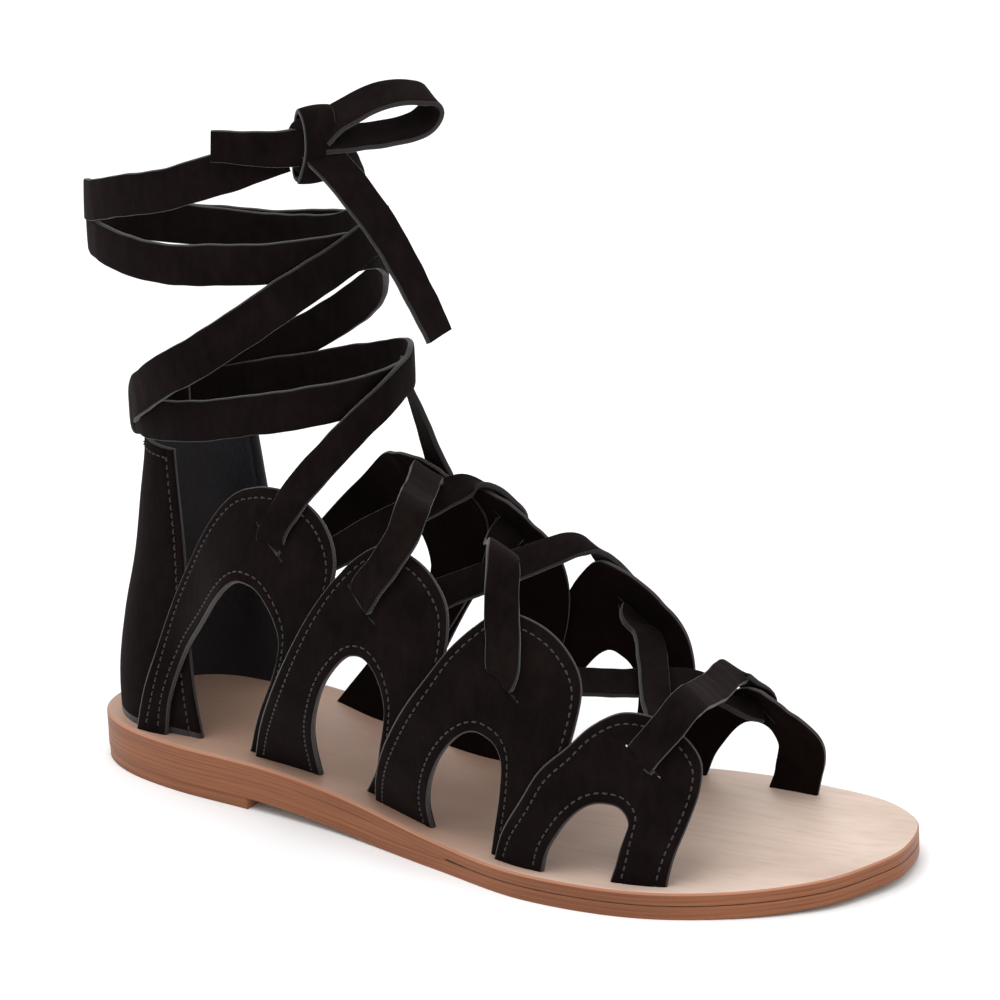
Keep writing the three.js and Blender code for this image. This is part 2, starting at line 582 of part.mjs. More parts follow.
// Insole with a groove for each pair of strap feet, and one round the heel for the counter.
function insole() {
  const top = insoleTop;
  let body = solid(soleLayer(-10, 300, (x) => top(x) - LAYER, top, 0));
  const slack = 0.8;
  for (const side of [LATERAL, MEDIAL]) {
    const feet = ARCHES.map((arch, i) => {
      const { rows } = archRows(i, side);
      return { back: [rows[0][0], rows[0][2]], front: [rows[rows.length - 1][2], rows[rows.length - 1][0]] };
    });
    const outer = OVERLAP + SUEDE + slack;
    body = body.subtract(groove(feet[0].back[0] - slack, feet[0].back[1] + slack, side, -slack,
      OVER_COUNTER + SUEDE + slack));
    for (let i = 1; i < ARCHES.length; i += 1) {
      const from = Math.min(feet[i].back[0], feet[i - 1].front[0]);
      const to = Math.max(feet[i].back[1], feet[i - 1].front[1]);
      body = body.subtract(groove(from - slack, to + slack, side, -slack, outer));
    }
    const [from, to] = [feet[3].front[0] - slack, feet[3].front[1] + slack];
    body = body.subtract(groove(from, to, side, -slack, SUEDE + slack));
  }
  body = body.subtract(counterBlock(1.02, HEEL_TOP - GROOVE, HEEL_TOP + 2, -slack, COUNTER + slack, 26, 1));
  return geometryOf(body);
}

// ---------------------------------------------------------------- assembly
const SUEDE_BLACK = { color: 0x15100f, roughness: 0.95, metalness: 0 };
const INSOLE_TAN = { color: 0xd9c0ae, roughness: 0.62, metalness: 0 };
const SOLE_BROWN = { color: 0x9c6650, roughness: 0.5, metalness: 0 };
const SOLE_DARK = { color: 0x7d4c39, roughness: 0.55, metalness: 0 };

const shoe = new THREE.Group();
shoe.position.x = -HEEL_REST;

function addPiece(name, geometry, finish) {
  const mesh = new THREE.Mesh(geometry, new THREE.MeshStandardMaterial(finish));
  mesh.name = name;
  shoe.add(mesh);
}

const insoleBottom = (x) => insoleTop(x) - LAYER;
const outsoleTop = (x) => outsoleBottom(x) + LAYER;

addPiece('heel_lift', soleLayer(-10, LIFT_FRONT, () => 0, () => LIFT, 0.6), SOLE_DARK);
const underInsole = (x) => Math.min(outsoleTop(x), insoleBottom(x) - GAP);
addPiece('outsole', soleLayer(-10, 300, outsoleBottom, underInsole, 0), SOLE_BROWN);
addPiece('heel_wedge', soleLayer(-10, WEDGE_FRONT, (x) => outsoleTop(x) + GAP,
  (x) => Math.max(insoleBottom(x) - GAP, outsoleTop(x) + GAP + 0.2), 0.2), SOLE_BROWN);
addPiece('insole', insole(), INSOLE_TAN);
addPiece('heel_counter', counter(), SUEDE_BLACK);
addPiece('lateral_arches', archesOf(LATERAL), SUEDE_BLACK);
addPiece('medial_arches', archesOf(MEDIAL), SUEDE_BLACK);
for (const [name, routes] of Object.entries(CROSSINGS)) addPiece(name, crossing(routes), SUEDE_BLACK);
const ties = tie(TIE_FROM_MEDIAL, MEDIAL).add(tie(TIE_FROM_LATERAL, LATERAL));
addPiece('ankle_ties', geometryOf(ties), SUEDE_BLACK);
addPiece('bow_knot', knot(), SUEDE_BLACK);
addPiece('bow_loop', bowBand(LOOP_ROUTE, V(0.84, -0.55, 0), true), SUEDE_BLACK);
addPiece('bow_hanging_end', bowBand(END_ROUTE, V(0.55, 0.84, 0.25), true), SUEDE_BLACK);
addPiece('bow_short_end', bowBand(SHORT_END_ROUTE, V(0, 0, 1), true), SUEDE_BLACK);

export default shoe;
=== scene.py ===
"""Lace-up gladiator sandal, right foot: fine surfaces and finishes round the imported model.

Shapes are worked out in millimetres, with "along" measured from the back end of the sole. They go
into the meshes in metres, moved back so that the origin lies under the middle of the heel.
"""

import math

import bmesh
import bpy
import numpy as np
from mathutils import Matrix, Vector


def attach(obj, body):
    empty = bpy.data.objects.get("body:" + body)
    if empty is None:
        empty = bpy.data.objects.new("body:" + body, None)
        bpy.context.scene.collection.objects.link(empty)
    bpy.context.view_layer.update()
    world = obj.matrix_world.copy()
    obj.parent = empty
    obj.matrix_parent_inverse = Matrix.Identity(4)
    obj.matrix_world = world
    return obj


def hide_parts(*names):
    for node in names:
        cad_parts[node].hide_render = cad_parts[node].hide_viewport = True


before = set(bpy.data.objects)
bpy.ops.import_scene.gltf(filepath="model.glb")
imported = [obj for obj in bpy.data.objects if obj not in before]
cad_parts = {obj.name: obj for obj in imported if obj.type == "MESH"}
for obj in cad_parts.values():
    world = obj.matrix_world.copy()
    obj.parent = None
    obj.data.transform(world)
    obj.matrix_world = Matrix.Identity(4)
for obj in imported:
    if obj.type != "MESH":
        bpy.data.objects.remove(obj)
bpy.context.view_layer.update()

bl_info = {
    "name": "Gladiator sandal",
    "version": (1, 0, 0),
    "blender": (4, 5, 0),
    "location": "View3D > Sidebar > Sandal",
    "description": "Makes the pieces of a lace-up gladiator sandal",
    "category": "Add Mesh",
}

MM = 0.001
HEEL_REST = 32.0          # from the back end of the sole to the origin
LATERAL = -1              # outer side of the foot
MEDIAL = 1                # the big toe's side

# ---------------------------------------------------------------- sole
LAYER = 3.65              # thickness of the insole and of the outsole
LIFT = 3.2                # thickness of the heel lift
LIFT_FRONT = 64.0         # where the heel lift ends
GAP = 0.3                 # glue line between the lift and the outsole
WEDGE_FRONT = 138.0       # where the wedge has run out
HEEL_TOP = 14.3           # height of the insole's top at the heel
FOREFOOT_TOP = 7.6        # the same at the ball
INSOLE_FALL = 88.0        # run over which the insole falls from the one to the other
OUTSOLE_FALL = 58.0       # run over which the outsole comes down to the ground
TOE_START = 205.0         # where the toe spring starts
TOE_RUN = 45.0            # length of the toe spring
TOE_SPRING = 2.2          # rise of the tip of the toe
PAST_ENDS = (-10, 300)    # stations past both ends of the sole, for layers of its full length
LOWER_ROUNDING = 0.14     # most that a layer's lower edge is rounded
TRIM = 0.9                # height of the paler band along the upper edge of the insole

# Outline of the sole, anticlockwise from the back of the heel: along, across.
OUTLINE = np.array([
    (0, 0), (4, 14), (16, 25.5), (37, 31), (60, 28.5), (80, 22.8), (103, 19.8), (125, 21.5), (146, 29),
    (166, 36), (186, 40.5), (207, 41.5), (229, 38), (245, 26), (250.5, 8), (247.5, -6), (239.5, -20.5),
    (221, -35.5), (196, -46.5), (165, -49), (135, -42.5), (100, -34.5), (65, -30.5), (38, -28),
    (17, -22.5), (4, -13),
], float)


def table(names, rows):
    """Columns of a table by name."""
    return dict(zip(names.split(), np.array(rows, float).T))


# Last: height and place across of the ridge; bulge of the sides; roundness of the section.
LAST = table("along ridge across bulge round", [
    (10, 110, 2.5, 9, 3.2), (45, 110, 2.0, 15, 3.2), (80, 107, 0.5, 17.5, 3.2), (112, 102, -1, 15.5, 2.9),
    (135, 96, -1, 10.5, 2.4), (155, 87, -1, 5, 2.1), (175, 75, -1, 2, 1.9), (190, 64, -1, 1, 1.7),
    (210, 51, -0.5, 0, 1.6), (235, 40, 0, 0, 1.6),
])
# Back of the heel by height: centre and radius of its half circle, and its middle across.
HEEL = table("height centre radius middle", [
    (-0.05, 27.5, 22.3, 3.3), (0.13, 28, 22.6, 3.1), (0.30, 30.2, 21.6, 2.8), (0.50, 34.4, 20.6, 2.4),
    (0.69, 36.7, 19.6, 2.0), (0.85, 38.2, 18.6, 1.7), (1.10, 38.5, 18.4, 1.5),
])
HEEL_BLEND = 40.0         # run over which the heel's half circle turns into the free sections
# How far the strap feet stand in from the edge of the sole.
INSET = table("along lateral medial", [
    (0, 8, 8), (60, 9.5, 8), (110, 10, 7.5), (160, 7.5, 7.5), (200, 6.5, 8), (250, 6.5, 8),
])
# Ring that the ankle ties are wound on: place of its middle and its two half axes, by height.
RING = table("height centre long wide", [
    (90, 57.5, 40.1, 26), (106, 57.5, 40.1, 27), (125, 54.5, 43, 31), (150, 49.5, 42.3, 32),
    (200, 49.3, 41.7, 32),
])
LEG_MIDDLE = 1.5          # place across of the ring's middle

# ---------------------------------------------------------------- arches
# Rows run from the back foot over the crown to the front foot: the outer edge, then the edge of
# the opening, each as along and height.
ARCHES = {
    "heel_quarter": [
        (22, 0.00, 32, 0.00), (26, 0.15, 35, 0.12), (34, 0.35, 43, 0.27), (43, 0.51, 54, 0.40),
        (53, 0.66, 64, 0.52), (65, 0.81, 71, 0.595), (79, 0.855, 76, 0.605), (92, 0.83, 80, 0.58),
        (100, 0.76, 84, 0.52), (101, 0.66, 85, 0.45), (96, 0.45, 81, 0.34), (88, 0.22, 71, 0.18),
        (80, 0.00, 60, 0.00)],
    "instep_back": [
        (63, 0.00, 87, 0.00), (72, 0.16, 90, 0.12), (83, 0.34, 94, 0.24), (92, 0.50, 100, 0.37),
        (99, 0.63, 105, 0.45), (106, 0.74, 109, 0.50), (114, 0.815, 112, 0.52), (123, 0.82, 115, 0.52),
        (131, 0.79, 118, 0.49), (137, 0.72, 120, 0.43), (138, 0.58, 120, 0.36), (134, 0.38, 117, 0.26),
        (127, 0.18, 111, 0.13), (121, 0.00, 102, 0.00)],
    "instep_front": [
        (107, 0.00, 130, 0.00), (112, 0.12, 131, 0.10), (118, 0.24, 134, 0.20), (126, 0.39, 138, 0.29),
        (134, 0.53, 142, 0.36), (141, 0.66, 145, 0.40), (150, 0.78, 148, 0.425), (160, 0.81, 151, 0.43),
        (169, 0.79, 155, 0.41), (175, 0.72, 157, 0.36), (176, 0.58, 157, 0.29), (174, 0.39, 156, 0.20),
        (170, 0.19, 154, 0.11), (167, 0.00, 151, 0.00)],
    "toe": [
        (154, 0.00, 170, 0.00), (158, 0.12, 172, 0.09), (164, 0.26, 175, 0.17), (169, 0.39, 178, 0.24),
        (175, 0.50, 181, 0.295), (180, 0.61, 184, 0.33), (186, 0.70, 187, 0.345), (194, 0.74, 190, 0.345),
        (202, 0.725, 192, 0.32), (207, 0.66, 193, 0.28), (208.5, 0.53, 192.5, 0.23),
        (207.5, 0.35, 191.5, 0.16), (205.5, 0.17, 190.5, 0.08), (204, 0.00, 189, 0.00)],
}
# The medial arches are moved forward by so much at the foot, at the crown and at the crown of the
# opening, and their outer edge and their opening are raised or lowered.
MEDIAL_ARCH = {
    "heel_quarter": (1, 13, 6, 0.985, 0.99),
    "instep_back": (2, -2, -2, 1.0, 1.0),
    "instep_front": (1, -1.5, -1.5, 0.95, 0.95),
    "toe": (6, 7, 7, 0.76, 0.98),
}
# Places of the lace slots, lateral and medial: along, height.
SLOTS = {
    "heel_quarter": {LATERAL: (80.5, 0.73), MEDIAL: (92, 0.755)},
    "instep_back": {LATERAL: (113, 0.665), MEDIAL: (121, 0.72)},
    "instep_front": {LATERAL: (156, 0.61), MEDIAL: (158, 0.60)},
    "toe": {LATERAL: (193.8, 0.563), MEDIAL: (194, 0.43)},
}
SLOT_TURN = 32.0          # turn of a slot out of level, towards the toe, in degrees
SLOT_SLANT = 0.04 / 5.6   # drop of a slot towards the toe, as a share of height for each millimetre
SLOT_HALF = (5.0, 0.36)   # half the length and half the height of a slot
SLOT_DEPTH = (-2.5, 7.5)  # stand-off of the two ends of the block that cuts a slot
SLOT_RISE = 92.0          # millimetres that a height share of 1 stands for at the slots
ARCH_RISE = 90.0          # the same for the relief of the arches
LIP = (0.55, 8.5, 4.0)    # rise of the leather round a slot, and its reach along and up
# Folds from a slot up to the crown: start, lean, depth. Then their width, middle and reach.
FOLDS = ((-8.0, -0.25, -0.45), (8.0, 0.3, -0.4), (0.5, 0.1, 0.3))
FOLD_REACH = (1.9, 7.0, 8.0)
ARCH_ROWS = 150           # sections of an arch from foot to foot
SEAM_MARGIN = 1.15        # least leather beside a seam, where an arch is narrow
SEAM_DEPTH = 0.16         # how far a seam sits in its furrow
CROWN = 0.85              # height of the tallest crown, as a share of the last
FOOT_DEPTH = 2.1          # how far a strap foot goes into the insole
OVERLAP = 1.8             # how far a back leg stands out over the arch behind it
OVER_COUNTER = 2.3        # the same over the heel counter
COUNTER = 1.8             # thickness of the heel counter
COUNTER_FRONT = table("height along", [(-0.05, 43), (0, 43), (0.55, 40), (0.88, 37.4), (1.1, 37)])
COUNTER_RUN = 42.0        # distance round the counter from its middle to its front edge
COUNTER_RIDGE = 110.0     # height of the last's ridge over the counter
COUNTER_SEAM = 0.9215     # place round the counter of its front seams
SEAM_UNDER_LOOP = 3.2     # drop of the counter's level seam below the tie loop
TUNNEL = {"low": 98.8, "high": 113.6, "reach": 0.38, "depth": 4.9, "wall": 1.2}

# ---------------------------------------------------------------- lace
# Each stretch runs from the middle of one slot to the middle of the next, by the rows: along,
# height, side, stand-off, tilt of its face in degrees (0 out, 90 up the last), sign of its face.
STRETCHES = {
    "lace_front_bar": ("lace_front_bar", [
        (194, 0.427, MEDIAL, 2.6, -90, 1), (192, 0.455, MEDIAL, 4.7, -10, 1),
        (189.5, 0.485, MEDIAL, 4.9, 5, 1), (186.5, 0.53, MEDIAL, 4.6, 22, 1),
        (199, 0.82, LATERAL, 5.0, 10, 1), (196.5, 0.70, LATERAL, 4.9, 0, 1),
        (194, 0.605, LATERAL, 4.7, 0, 1), (193, 0.562, LATERAL, 2.4, -90, 1)]),
    "lace_toe_level": ("lace_crossing_toe", [
        (156, 0.607, LATERAL, 2.4, -90, 1), (156.6, 0.615, LATERAL, -1.4, -110, 1),
        (158, 0.635, LATERAL, -5, -110, 1), (183, 0.535, MEDIAL, -5, -110, 1),
        (190, 0.465, MEDIAL, -2.5, -130, 1), (194, 0.427, MEDIAL, 2.6, -90, 1)]),
    "lace_toe_slanting": ("lace_crossing_toe", [
        (193, 0.562, LATERAL, 2.4, -90, 1), (194.8, 0.575, LATERAL, -1.5, -105, 1),
        (198.5, 0.595, LATERAL, -5, -105, 1), (166, 0.625, MEDIAL, -5, -105, 1),
        (160, 0.605, MEDIAL, -2, -115, 1), (158, 0.597, MEDIAL, 2.4, -90, 1)]),
    "lace_instep_upper": ("lace_crossing_instep", [
        (121, 0.717, MEDIAL, 2.4, -90, -1), (121, 0.715, MEDIAL, -1.4, -110, -1),
        (121.5, 0.705, MEDIAL, -5, -110, -1), (146.5, 0.90, LATERAL, 4.6, 40, 1),
        (150.5, 0.81, LATERAL, 5.0, 12, 1), (153.8, 0.72, LATERAL, 4.7, 0, 1),
        (155.6, 0.645, LATERAL, 4.6, 0, 1), (156, 0.607, LATERAL, 2.4, -90, 1)]),
    "lace_instep_lower": ("lace_crossing_instep", [
        (158, 0.597, MEDIAL, 2.4, -90, 1), (156.3, 0.635, MEDIAL, 4.6, 0, 1),
        (152, 0.69, MEDIAL, 4.8, 0, 1), (147.5, 0.735, MEDIAL, 4.9, 15, 1),
        (144.5, 0.77, MEDIAL, 3.4, 50, 1), (116, 0.665, LATERAL, -5.5, -125, -1),
        (113.5, 0.668, LATERAL, -1.4, -110, -1), (113, 0.662, LATERAL, 2.4, -90, -1)]),
    "lace_top_upper": ("lace_crossing_top", [
        (113, 0.662, LATERAL, 2.4, -90, -1), (114, 0.70, LATERAL, 4.6, 0, -1),
        (117.5, 0.77, LATERAL, 4.8, 5, -1), (120.2, 0.845, LATERAL, 5.2, 22, -1),
        (119.4, 0.905, LATERAL, 4.6, 42, -1), (103, 0.90, MEDIAL, -3.0, -150, 1),
        (98, 0.81, MEDIAL, -2.2, -165, 1), (93, 0.765, MEDIAL, -1.4, -130, 1),
        (92, 0.752, MEDIAL, 2.4, -90, 1)]),
    "lace_top_lower": ("lace_crossing_top", [
        (80.5, 0.727, LATERAL, 2.4, -90, 1), (81.5, 0.722, LATERAL, -1.4, -110, 1),
        (85.5, 0.69, LATERAL, -5, -110, 1), (110, 0.82, MEDIAL, 2.2, 50, -1),
        (115, 0.805, MEDIAL, 4.9, 15, -1), (119, 0.755, MEDIAL, 4.7, 0, -1),
        (121, 0.717, MEDIAL, 2.4, -90, -1)]),
}

GATHERED = 0.87           # width of the lace where slots gather it, as a share of its width
THROAT_LEAN = 38.0        # lean of a band half-way over the throat, forward from level, in degrees
BOW_NARROWER = 0.4        # how much narrower the lace is in the bow
TIE_WIDTHS = (0.82, 1.06) # width of a tie at its slot and where it is wound, as shares
TIE_WIDENS = (38, 44)     # where a tie starts to widen, and over what run

# Ankle ties on the ring, from the front of the ankle: angle (0 toe, 90 medial), height, stand-off.
TIE_FROM_MEDIAL = [
    (30, 118.5, -0.9), (10, 120, -0.9), (-28, 119, -1.3), (-65, 116, -0.9), (-93, 112, -0.5),
    (-125, 108, 0.3), (-155, 106, 0.1), (180, 105.5, 0.1), (155, 106, 0.1), (131, 108, 0.3),
    (102, 118, 0), (81, 127, 0), (61, 136, 0), (41, 146, 0), (20, 154, 0), (0, 157.5, 0),
    (-26, 158.5, 0), (-67, 158, 0), (-94, 157, 0), (-122, 158, 0), (-150, 158, 0), (180, 156.5, 0),
    (150, 151.8, 0), (111, 147.8, 0), (80, 149.4, -0.5), (58, 154.4, -1.5), (38, 162.4, -3),
    (18, 171.5, -5), (0, 180, -5), (-11, 185.5, -4),
]
TIE_FROM_LATERAL = [
    (2, 120.5, 1.5), (25, 122, 1.3), (45, 119.5, 0.7), (70, 114.5, 0.2), (100, 109, 0), (130, 105.5, 0.3),
    (155, 105, 0.1), (180, 105.5, 0.1), (-155, 107.5, 0), (-127, 115, 1), (-99, 126, 1), (-82, 133, 1),
    (-57, 144, 1), (-36, 152, 1), (-15, 158, 1.7), (5, 161, 1.7), (30, 159, 1.5), (55, 154, 1.5),
    (85, 149.8, 1.6), (111, 148.3, 1.7), (149, 151.8, 1.2), (180, 160, 0.4), (-155, 166, 0.2),
    (-135, 169, 0), (-115, 173, 0), (-88, 178, 0), (-72, 182, 0), (-54, 186, -1), (-40, 188.5, -1.6),
]
# Start of each tie: its slot's middle, then the foot of its riser: along, height, stand-off.
RISERS = {
    LATERAL: {"slot": (80.5, 0.727, 2.4), "foot": (81.8, 0.765, 4.9), "rows": TIE_FROM_LATERAL},
    MEDIAL: {"slot": (92, 0.752, 2.4), "foot": (96.5, 0.79, 4.9), "rows": TIE_FROM_MEDIAL},
}

# Bow: middle, size and turn of its knot, and the routes of the lace's loop and ends.
KNOT = (87, -14, 190.4)
KNOT_SIZE = (13.5, 8.5, 19)
KNOT_TURN = 57.0
LOOP_ROUTE = [
    (88.4, -13.2, 192.6), (91.5, -10, 196.3), (94.5, -5.6, 198.7), (97.7, -0.7, 200.6),
    (101.4, 4.9, 201.2), (104.6, 9.7, 200.6), (106.8, 13.1, 199), (107.2, 13.9, 195.8),
    (105.8, 11.7, 192.4), (103.3, 7.9, 190.8), (99.5, 2.1, 190.5), (95.5, -4, 190.6),
    (92.6, -8.4, 190.6), (89, -12.8, 190.8),
]
END_ROUTE = [
    (87, -14, 190.4), (92.2, -15.4, 186.6), (95.2, -15.2, 184), (98.5, -14.8, 180.6), (102, -14.3, 176.4),
    (105.6, -13.6, 171.4), (109.2, -12.8, 165.6), (112.6, -11.9, 159.2), (115.8, -11, 152.4),
    (118.8, -10.2, 145.8), (121.4, -9.6, 139.6),
]
SHORT_END_ROUTE = [
    (85.5, -18.5, 190.3), (83, -21.9, 190.4), (79.1, -25.7, 190.9), (75.1, -28.8, 191.3),
    (71.1, -31.5, 192.0), (67.5, -33.5, 192.3),
]

# ---------------------------------------------------------------- stage
# Lights: azimuth and elevation in degrees, distance and size in metres, power in watts.
LIGHTS = {
    "overhead": (-20, 72, 1.3, 1.1, 11),
    "near side": (62, 38, 1.5, 0.9, 4),
    "far side": (205, 42, 1.5, 0.9, 4),
}
LIGHT_AIM = (0.09, 0, 0.08)      # metres
SKY = 0.78                       # strength of the even white light from all round
FLOOR_REACH = 6.0                # metres from the middle of the floor to its edge
CAMERA_AIM = (94.0, 0.0, 60.0)   # millimetres in the model's frame
CAMERA_AZIMUTH = 32.87           # degrees
CAMERA_ELEVATION = 20.15
CAMERA_ROLL = -2.45
CAMERA_DISTANCE = 1336.0         # millimetres
CAMERA_LENS = 175.8              # millimetres, on a sensor 36 wide
CAMERA_TURN = (-0.1831, 1.2635)  # degrees that the camera turns to the left and up off its aim


# ================================================================ sizes and colours
class SandalSizes(bpy.types.PropertyGroup):
    """Sizes that a maker would change."""

    suede: bpy.props.FloatProperty(
        name="Suede", description="Thickness of the arches", default=0.0017, unit="LENGTH")
    lace_width: bpy.props.FloatProperty(
        name="Lace width", description="Width of the flat lace", default=0.0108, unit="LENGTH")
    lace: bpy.props.FloatProperty(
        name="Lace", description="Thickness of the lace", default=0.0018, unit="LENGTH")
    stitch_inset: bpy.props.FloatProperty(
        name="Stitch inset", description="Distance of a seam from the cut edge", default=0.003,
        unit="LENGTH")
    stitch_pitch: bpy.props.FloatProperty(
        name="Stitch pitch", description="Distance from stitch to stitch", default=0.0023, unit="LENGTH")
    thread: bpy.props.FloatProperty(
        name="Thread", description="Thickness of the sewing thread", default=0.00048, unit="LENGTH")


def colour(name, description, default):
    """A colour setting."""
    return bpy.props.FloatVectorProperty(
        name=name, description=description, default=default, subtype="COLOR", size=3, min=0, max=1)


class SandalColours(bpy.types.PropertyGroup):
    """Colours of the finishes, as scene linear values."""

    suede: colour("Suede", "Suede with its nap lying down", (0.0032, 0.0020, 0.0019))
    nap: colour("Nap", "Suede with its nap brushed up", (0.0088, 0.0058, 0.0053))
    # Cut edge colour: partly the raw fibres' own lighter tone, partly a painted highlight of light catching
    # the rims.
    cut: colour("Cut edge", "Raw cut edge of the suede", (0.036, 0.028, 0.026))
    flesh: colour("Flesh side", "Underside of the suede", (0.0085, 0.0042, 0.0036))
    lining: colour("Lining", "Smooth lining of the heel counter", (0.0040, 0.0036, 0.0058))
    thread: colour("Thread", "Sewing thread", (0.0070, 0.0053, 0.0050))
    insole_toe: colour("Insole toe", "Natural leather at the toe", (0.62, 0.49, 0.41))
    # Insole heel colour: partly the leather's own browner tone, partly painted shade of the arches over the
    # insole.
    insole_heel_and_shade: colour("Insole heel", "Natural leather at the heel", (0.42, 0.26, 0.188))
    insole_edge: colour("Insole edge", "Upper edge of the insole", (0.46, 0.22, 0.14))
    edge: colour("Sole edge", "Burnished edge of the sole", (0.315, 0.112, 0.044))
    edge_dark: colour("Sole edge fibres", "Dark fibres in the burnished edge", (0.118, 0.036, 0.014))
    sole: colour("Sole underside", "Underside of the outsole", (0.34, 0.20, 0.125))
    floor: colour("Floor", "Floor of the stage", (0.93, 0.93, 0.935))


# ================================================================ shape functions
def smooth(value):
    """The step 3v^2 - 2v^3 between 0 and 1."""
    v = np.clip(value, 0, 1)
    return v * v * (3 - 2 * v)


def mix(a, b, share):
    """a at share 0, b at share 1."""
    return a + (b - a) * share


def cubic(xs, ys, x):
    """Value at x of the cubic curve through the points (xs, ys), whose slope at each is the
    weighted mean of the slopes on its two sides. ys may have several columns."""
    xs, ys = np.asarray(xs, float), np.asarray(ys, float)
    x = np.clip(np.asarray(x, float), xs[0], xs[-1])
    slopes = np.gradient(ys, xs, axis=0)
    i = np.clip(np.searchsorted(xs, x, side="right") - 1, 0, len(xs) - 2)
    run = xs[i + 1] - xs[i]
    t = (x - xs[i]) / run
    if ys.ndim > 1:
        t, run = t[..., None], run[..., None]
    return ((1 + 2 * t) * (1 - t) ** 2 * ys[i] + t * (1 - t) ** 2 * run * slopes[i]
            + t * t * (3 - 2 * t) * ys[i + 1] + t * t * (t - 1) * run * slopes[i + 1])


def column(rows, name, x):
    """A table's column at x, its first column."""
    return cubic(next(iter(rows.values())), rows[name], x)


def closed_curve(rows, count=520):
    """Points of the closed Catmull-Rom curve through the rows."""
    at = np.arange(count) * len(rows) / count
    i, f = at.astype(int), (at % 1)[:, None]
    p0, p1, p2, p3 = (rows[(i + j) % len(rows)] for j in (-1, 0, 1, 2))
    return 0.5 * (2 * p1 + (p2 - p0) * f + (2 * p0 - 5 * p1 + 4 * p2 - p3) * f ** 2
                  + (3 * p1 - p0 - 3 * p2 + p3) * f ** 3)


SOLE_CURVE = closed_curve(OUTLINE)
SOLE_BACK = SOLE_CURVE[:, 0].min()
SOLE_TIP = SOLE_CURVE[:, 0].max()


def edge(along, side):
    """Place across of the sole's edge at a station along it, on one side."""
    count = len(SOLE_CURVE)
    tip, back = SOLE_CURVE[:, 0].argmax(), SOLE_CURVE[:, 0].argmin()
    if side == MEDIAL:
        run = np.arange(back - (count if back > tip else 0), tip + 1)
    else:
        run = np.arange(tip, back + (count if back < tip else 0) + 1)[::-1]
    points = SOLE_CURVE[run % count]
    return np.interp(along, points[:, 0], points[:, 1])


def toe_spring(along):
    """Rise of the sole towards the tip of the toe, as the square of the way into the spring."""
    return TOE_SPRING * np.clip((along - TOE_START) / TOE_RUN, 0, 1) ** 2


def insole_top(along):
    """Height of the insole's top: high at the heel, level at the ball, sprung at the toe."""
    fall = (HEEL_TOP - FOREFOOT_TOP) * smooth((along - LIFT_FRONT) / INSOLE_FALL)
    return HEEL_TOP - fall + toe_spring(along)


def outsole_bottom(along):
    """Height of the outsole's bottom: on the heel lift, down to the ground, then the spring."""
    return (LIFT + GAP) * (1 - smooth((along - LIFT_FRONT) / OUTSOLE_FALL)) + toe_spring(along)


def last(along, height, side, out=0.0):
    """Point on the last, some distance out from it. A section is a superellipse with a sine bulge
    on a foot line inside the sole's edge, and it turns into a half circle round the heel."""
    along, height, side = np.broadcast_arrays(
        np.asarray(along, float), np.asarray(height, float), np.asarray(side, float))
    centre, radius, middle = (column(HEEL, name, height) for name in ("centre", "radius", "middle"))
    wrap = np.maximum(centre - along, 0) / radius
    x = np.maximum(along, centre)
    floor, ridge, across, bulge, roundness = (
        insole_top(x), *(column(LAST, name, x) for name in ("ridge", "across", "bulge", "round")))
    inset = np.where(side > 0, column(INSET, "medial", x), column(INSET, "lateral", x))
    edges = np.where(side > 0, edge(x, MEDIAL), edge(x, LATERAL))
    foot = abs(edges - side * inset - across)
    h = np.clip(height, 0, 1)
    free = foot * (1 - h ** roundness) ** (1 / roundness) + bulge * np.sin(np.pi * h)
    share = smooth((x - centre) / HEEL_BLEND)
    half = mix(radius, free, share)
    base = np.stack([
        x - radius * np.sin(wrap),
        mix(middle, across, share) + side * half * np.cos(wrap),
        floor + height * (ridge - floor),
    ], -1)
    if np.all(np.asarray(out) == 0):
        return base
    return base + last_frame(along, height, side)[2] * np.broadcast_to(out, along.shape)[..., None]


def unit(vectors):
    """The vectors at length 1."""
    return vectors / np.maximum(np.linalg.norm(vectors, axis=-1, keepdims=True), 1e-12)


def last_frame(along, height, side):
    """Unit vectors on the last: towards the toe, up its side, and out from it."""
    along, height, side = (np.asarray(value, float) for value in (along, height, side))
    forward = unit(last(along + 0.4, height, side) - last(along - 0.4, height, side))
    upward = unit(last(along, height + 0.008, side) - last(along, height - 0.008, side))
    normal = unit(np.cross(forward, upward) * -side[..., None])
    return forward, upward, normal


def sunk(along, depth):
    """Height share that lies some millimetres under the insole's top."""
    return -depth / (column(LAST, "ridge", along) - insole_top(along))


def ring(angle, height, out):
    """Point on the ring round the ankle: an ellipse whose middle and axes follow the height."""
    a = np.radians(angle)
    return np.stack([
        column(RING, "centre", height) + (column(RING, "long", height) + out) * np.cos(a),
        LEG_MIDDLE + (column(RING, "wide", height) + out) * np.sin(a),
        height + 0 * a,
    ], -1)


# ================================================================ meshes
FACE, CUT, BACK = 0, 1, 2       # parts of a wall: outer face, cut edge, inner face


def metres(points):
    """Points in metres in the model's frame."""
    return (np.asarray(points, float) - (HEEL_REST, 0, 0)) * MM


def grid_faces(rows, cols, wrap_rows=False, wrap_cols=False, first=0):
    """Quads between neighbouring points of a grid, closed on itself where it wraps."""
    i, j = np.meshgrid(np.arange(rows if wrap_rows else rows - 1),
                       np.arange(cols if wrap_cols else cols - 1), indexing="ij")
    below, right = (i + 1) % rows, (j + 1) % cols
    quads = [i * cols + j, i * cols + right, below * cols + right, below * cols + j]
    return np.stack(quads, -1).reshape(-1, 4) + first


def outward(points, faces):
    """Whether the faces point outward: the volume that they enclose is positive."""
    a, b, c, d = (points[faces[:, k]] for k in range(4))
    volume = np.einsum("ij,ij->", a, np.cross(b, c)) + np.einsum("ij,ij->", a, np.cross(c, d))
    return volume > 0


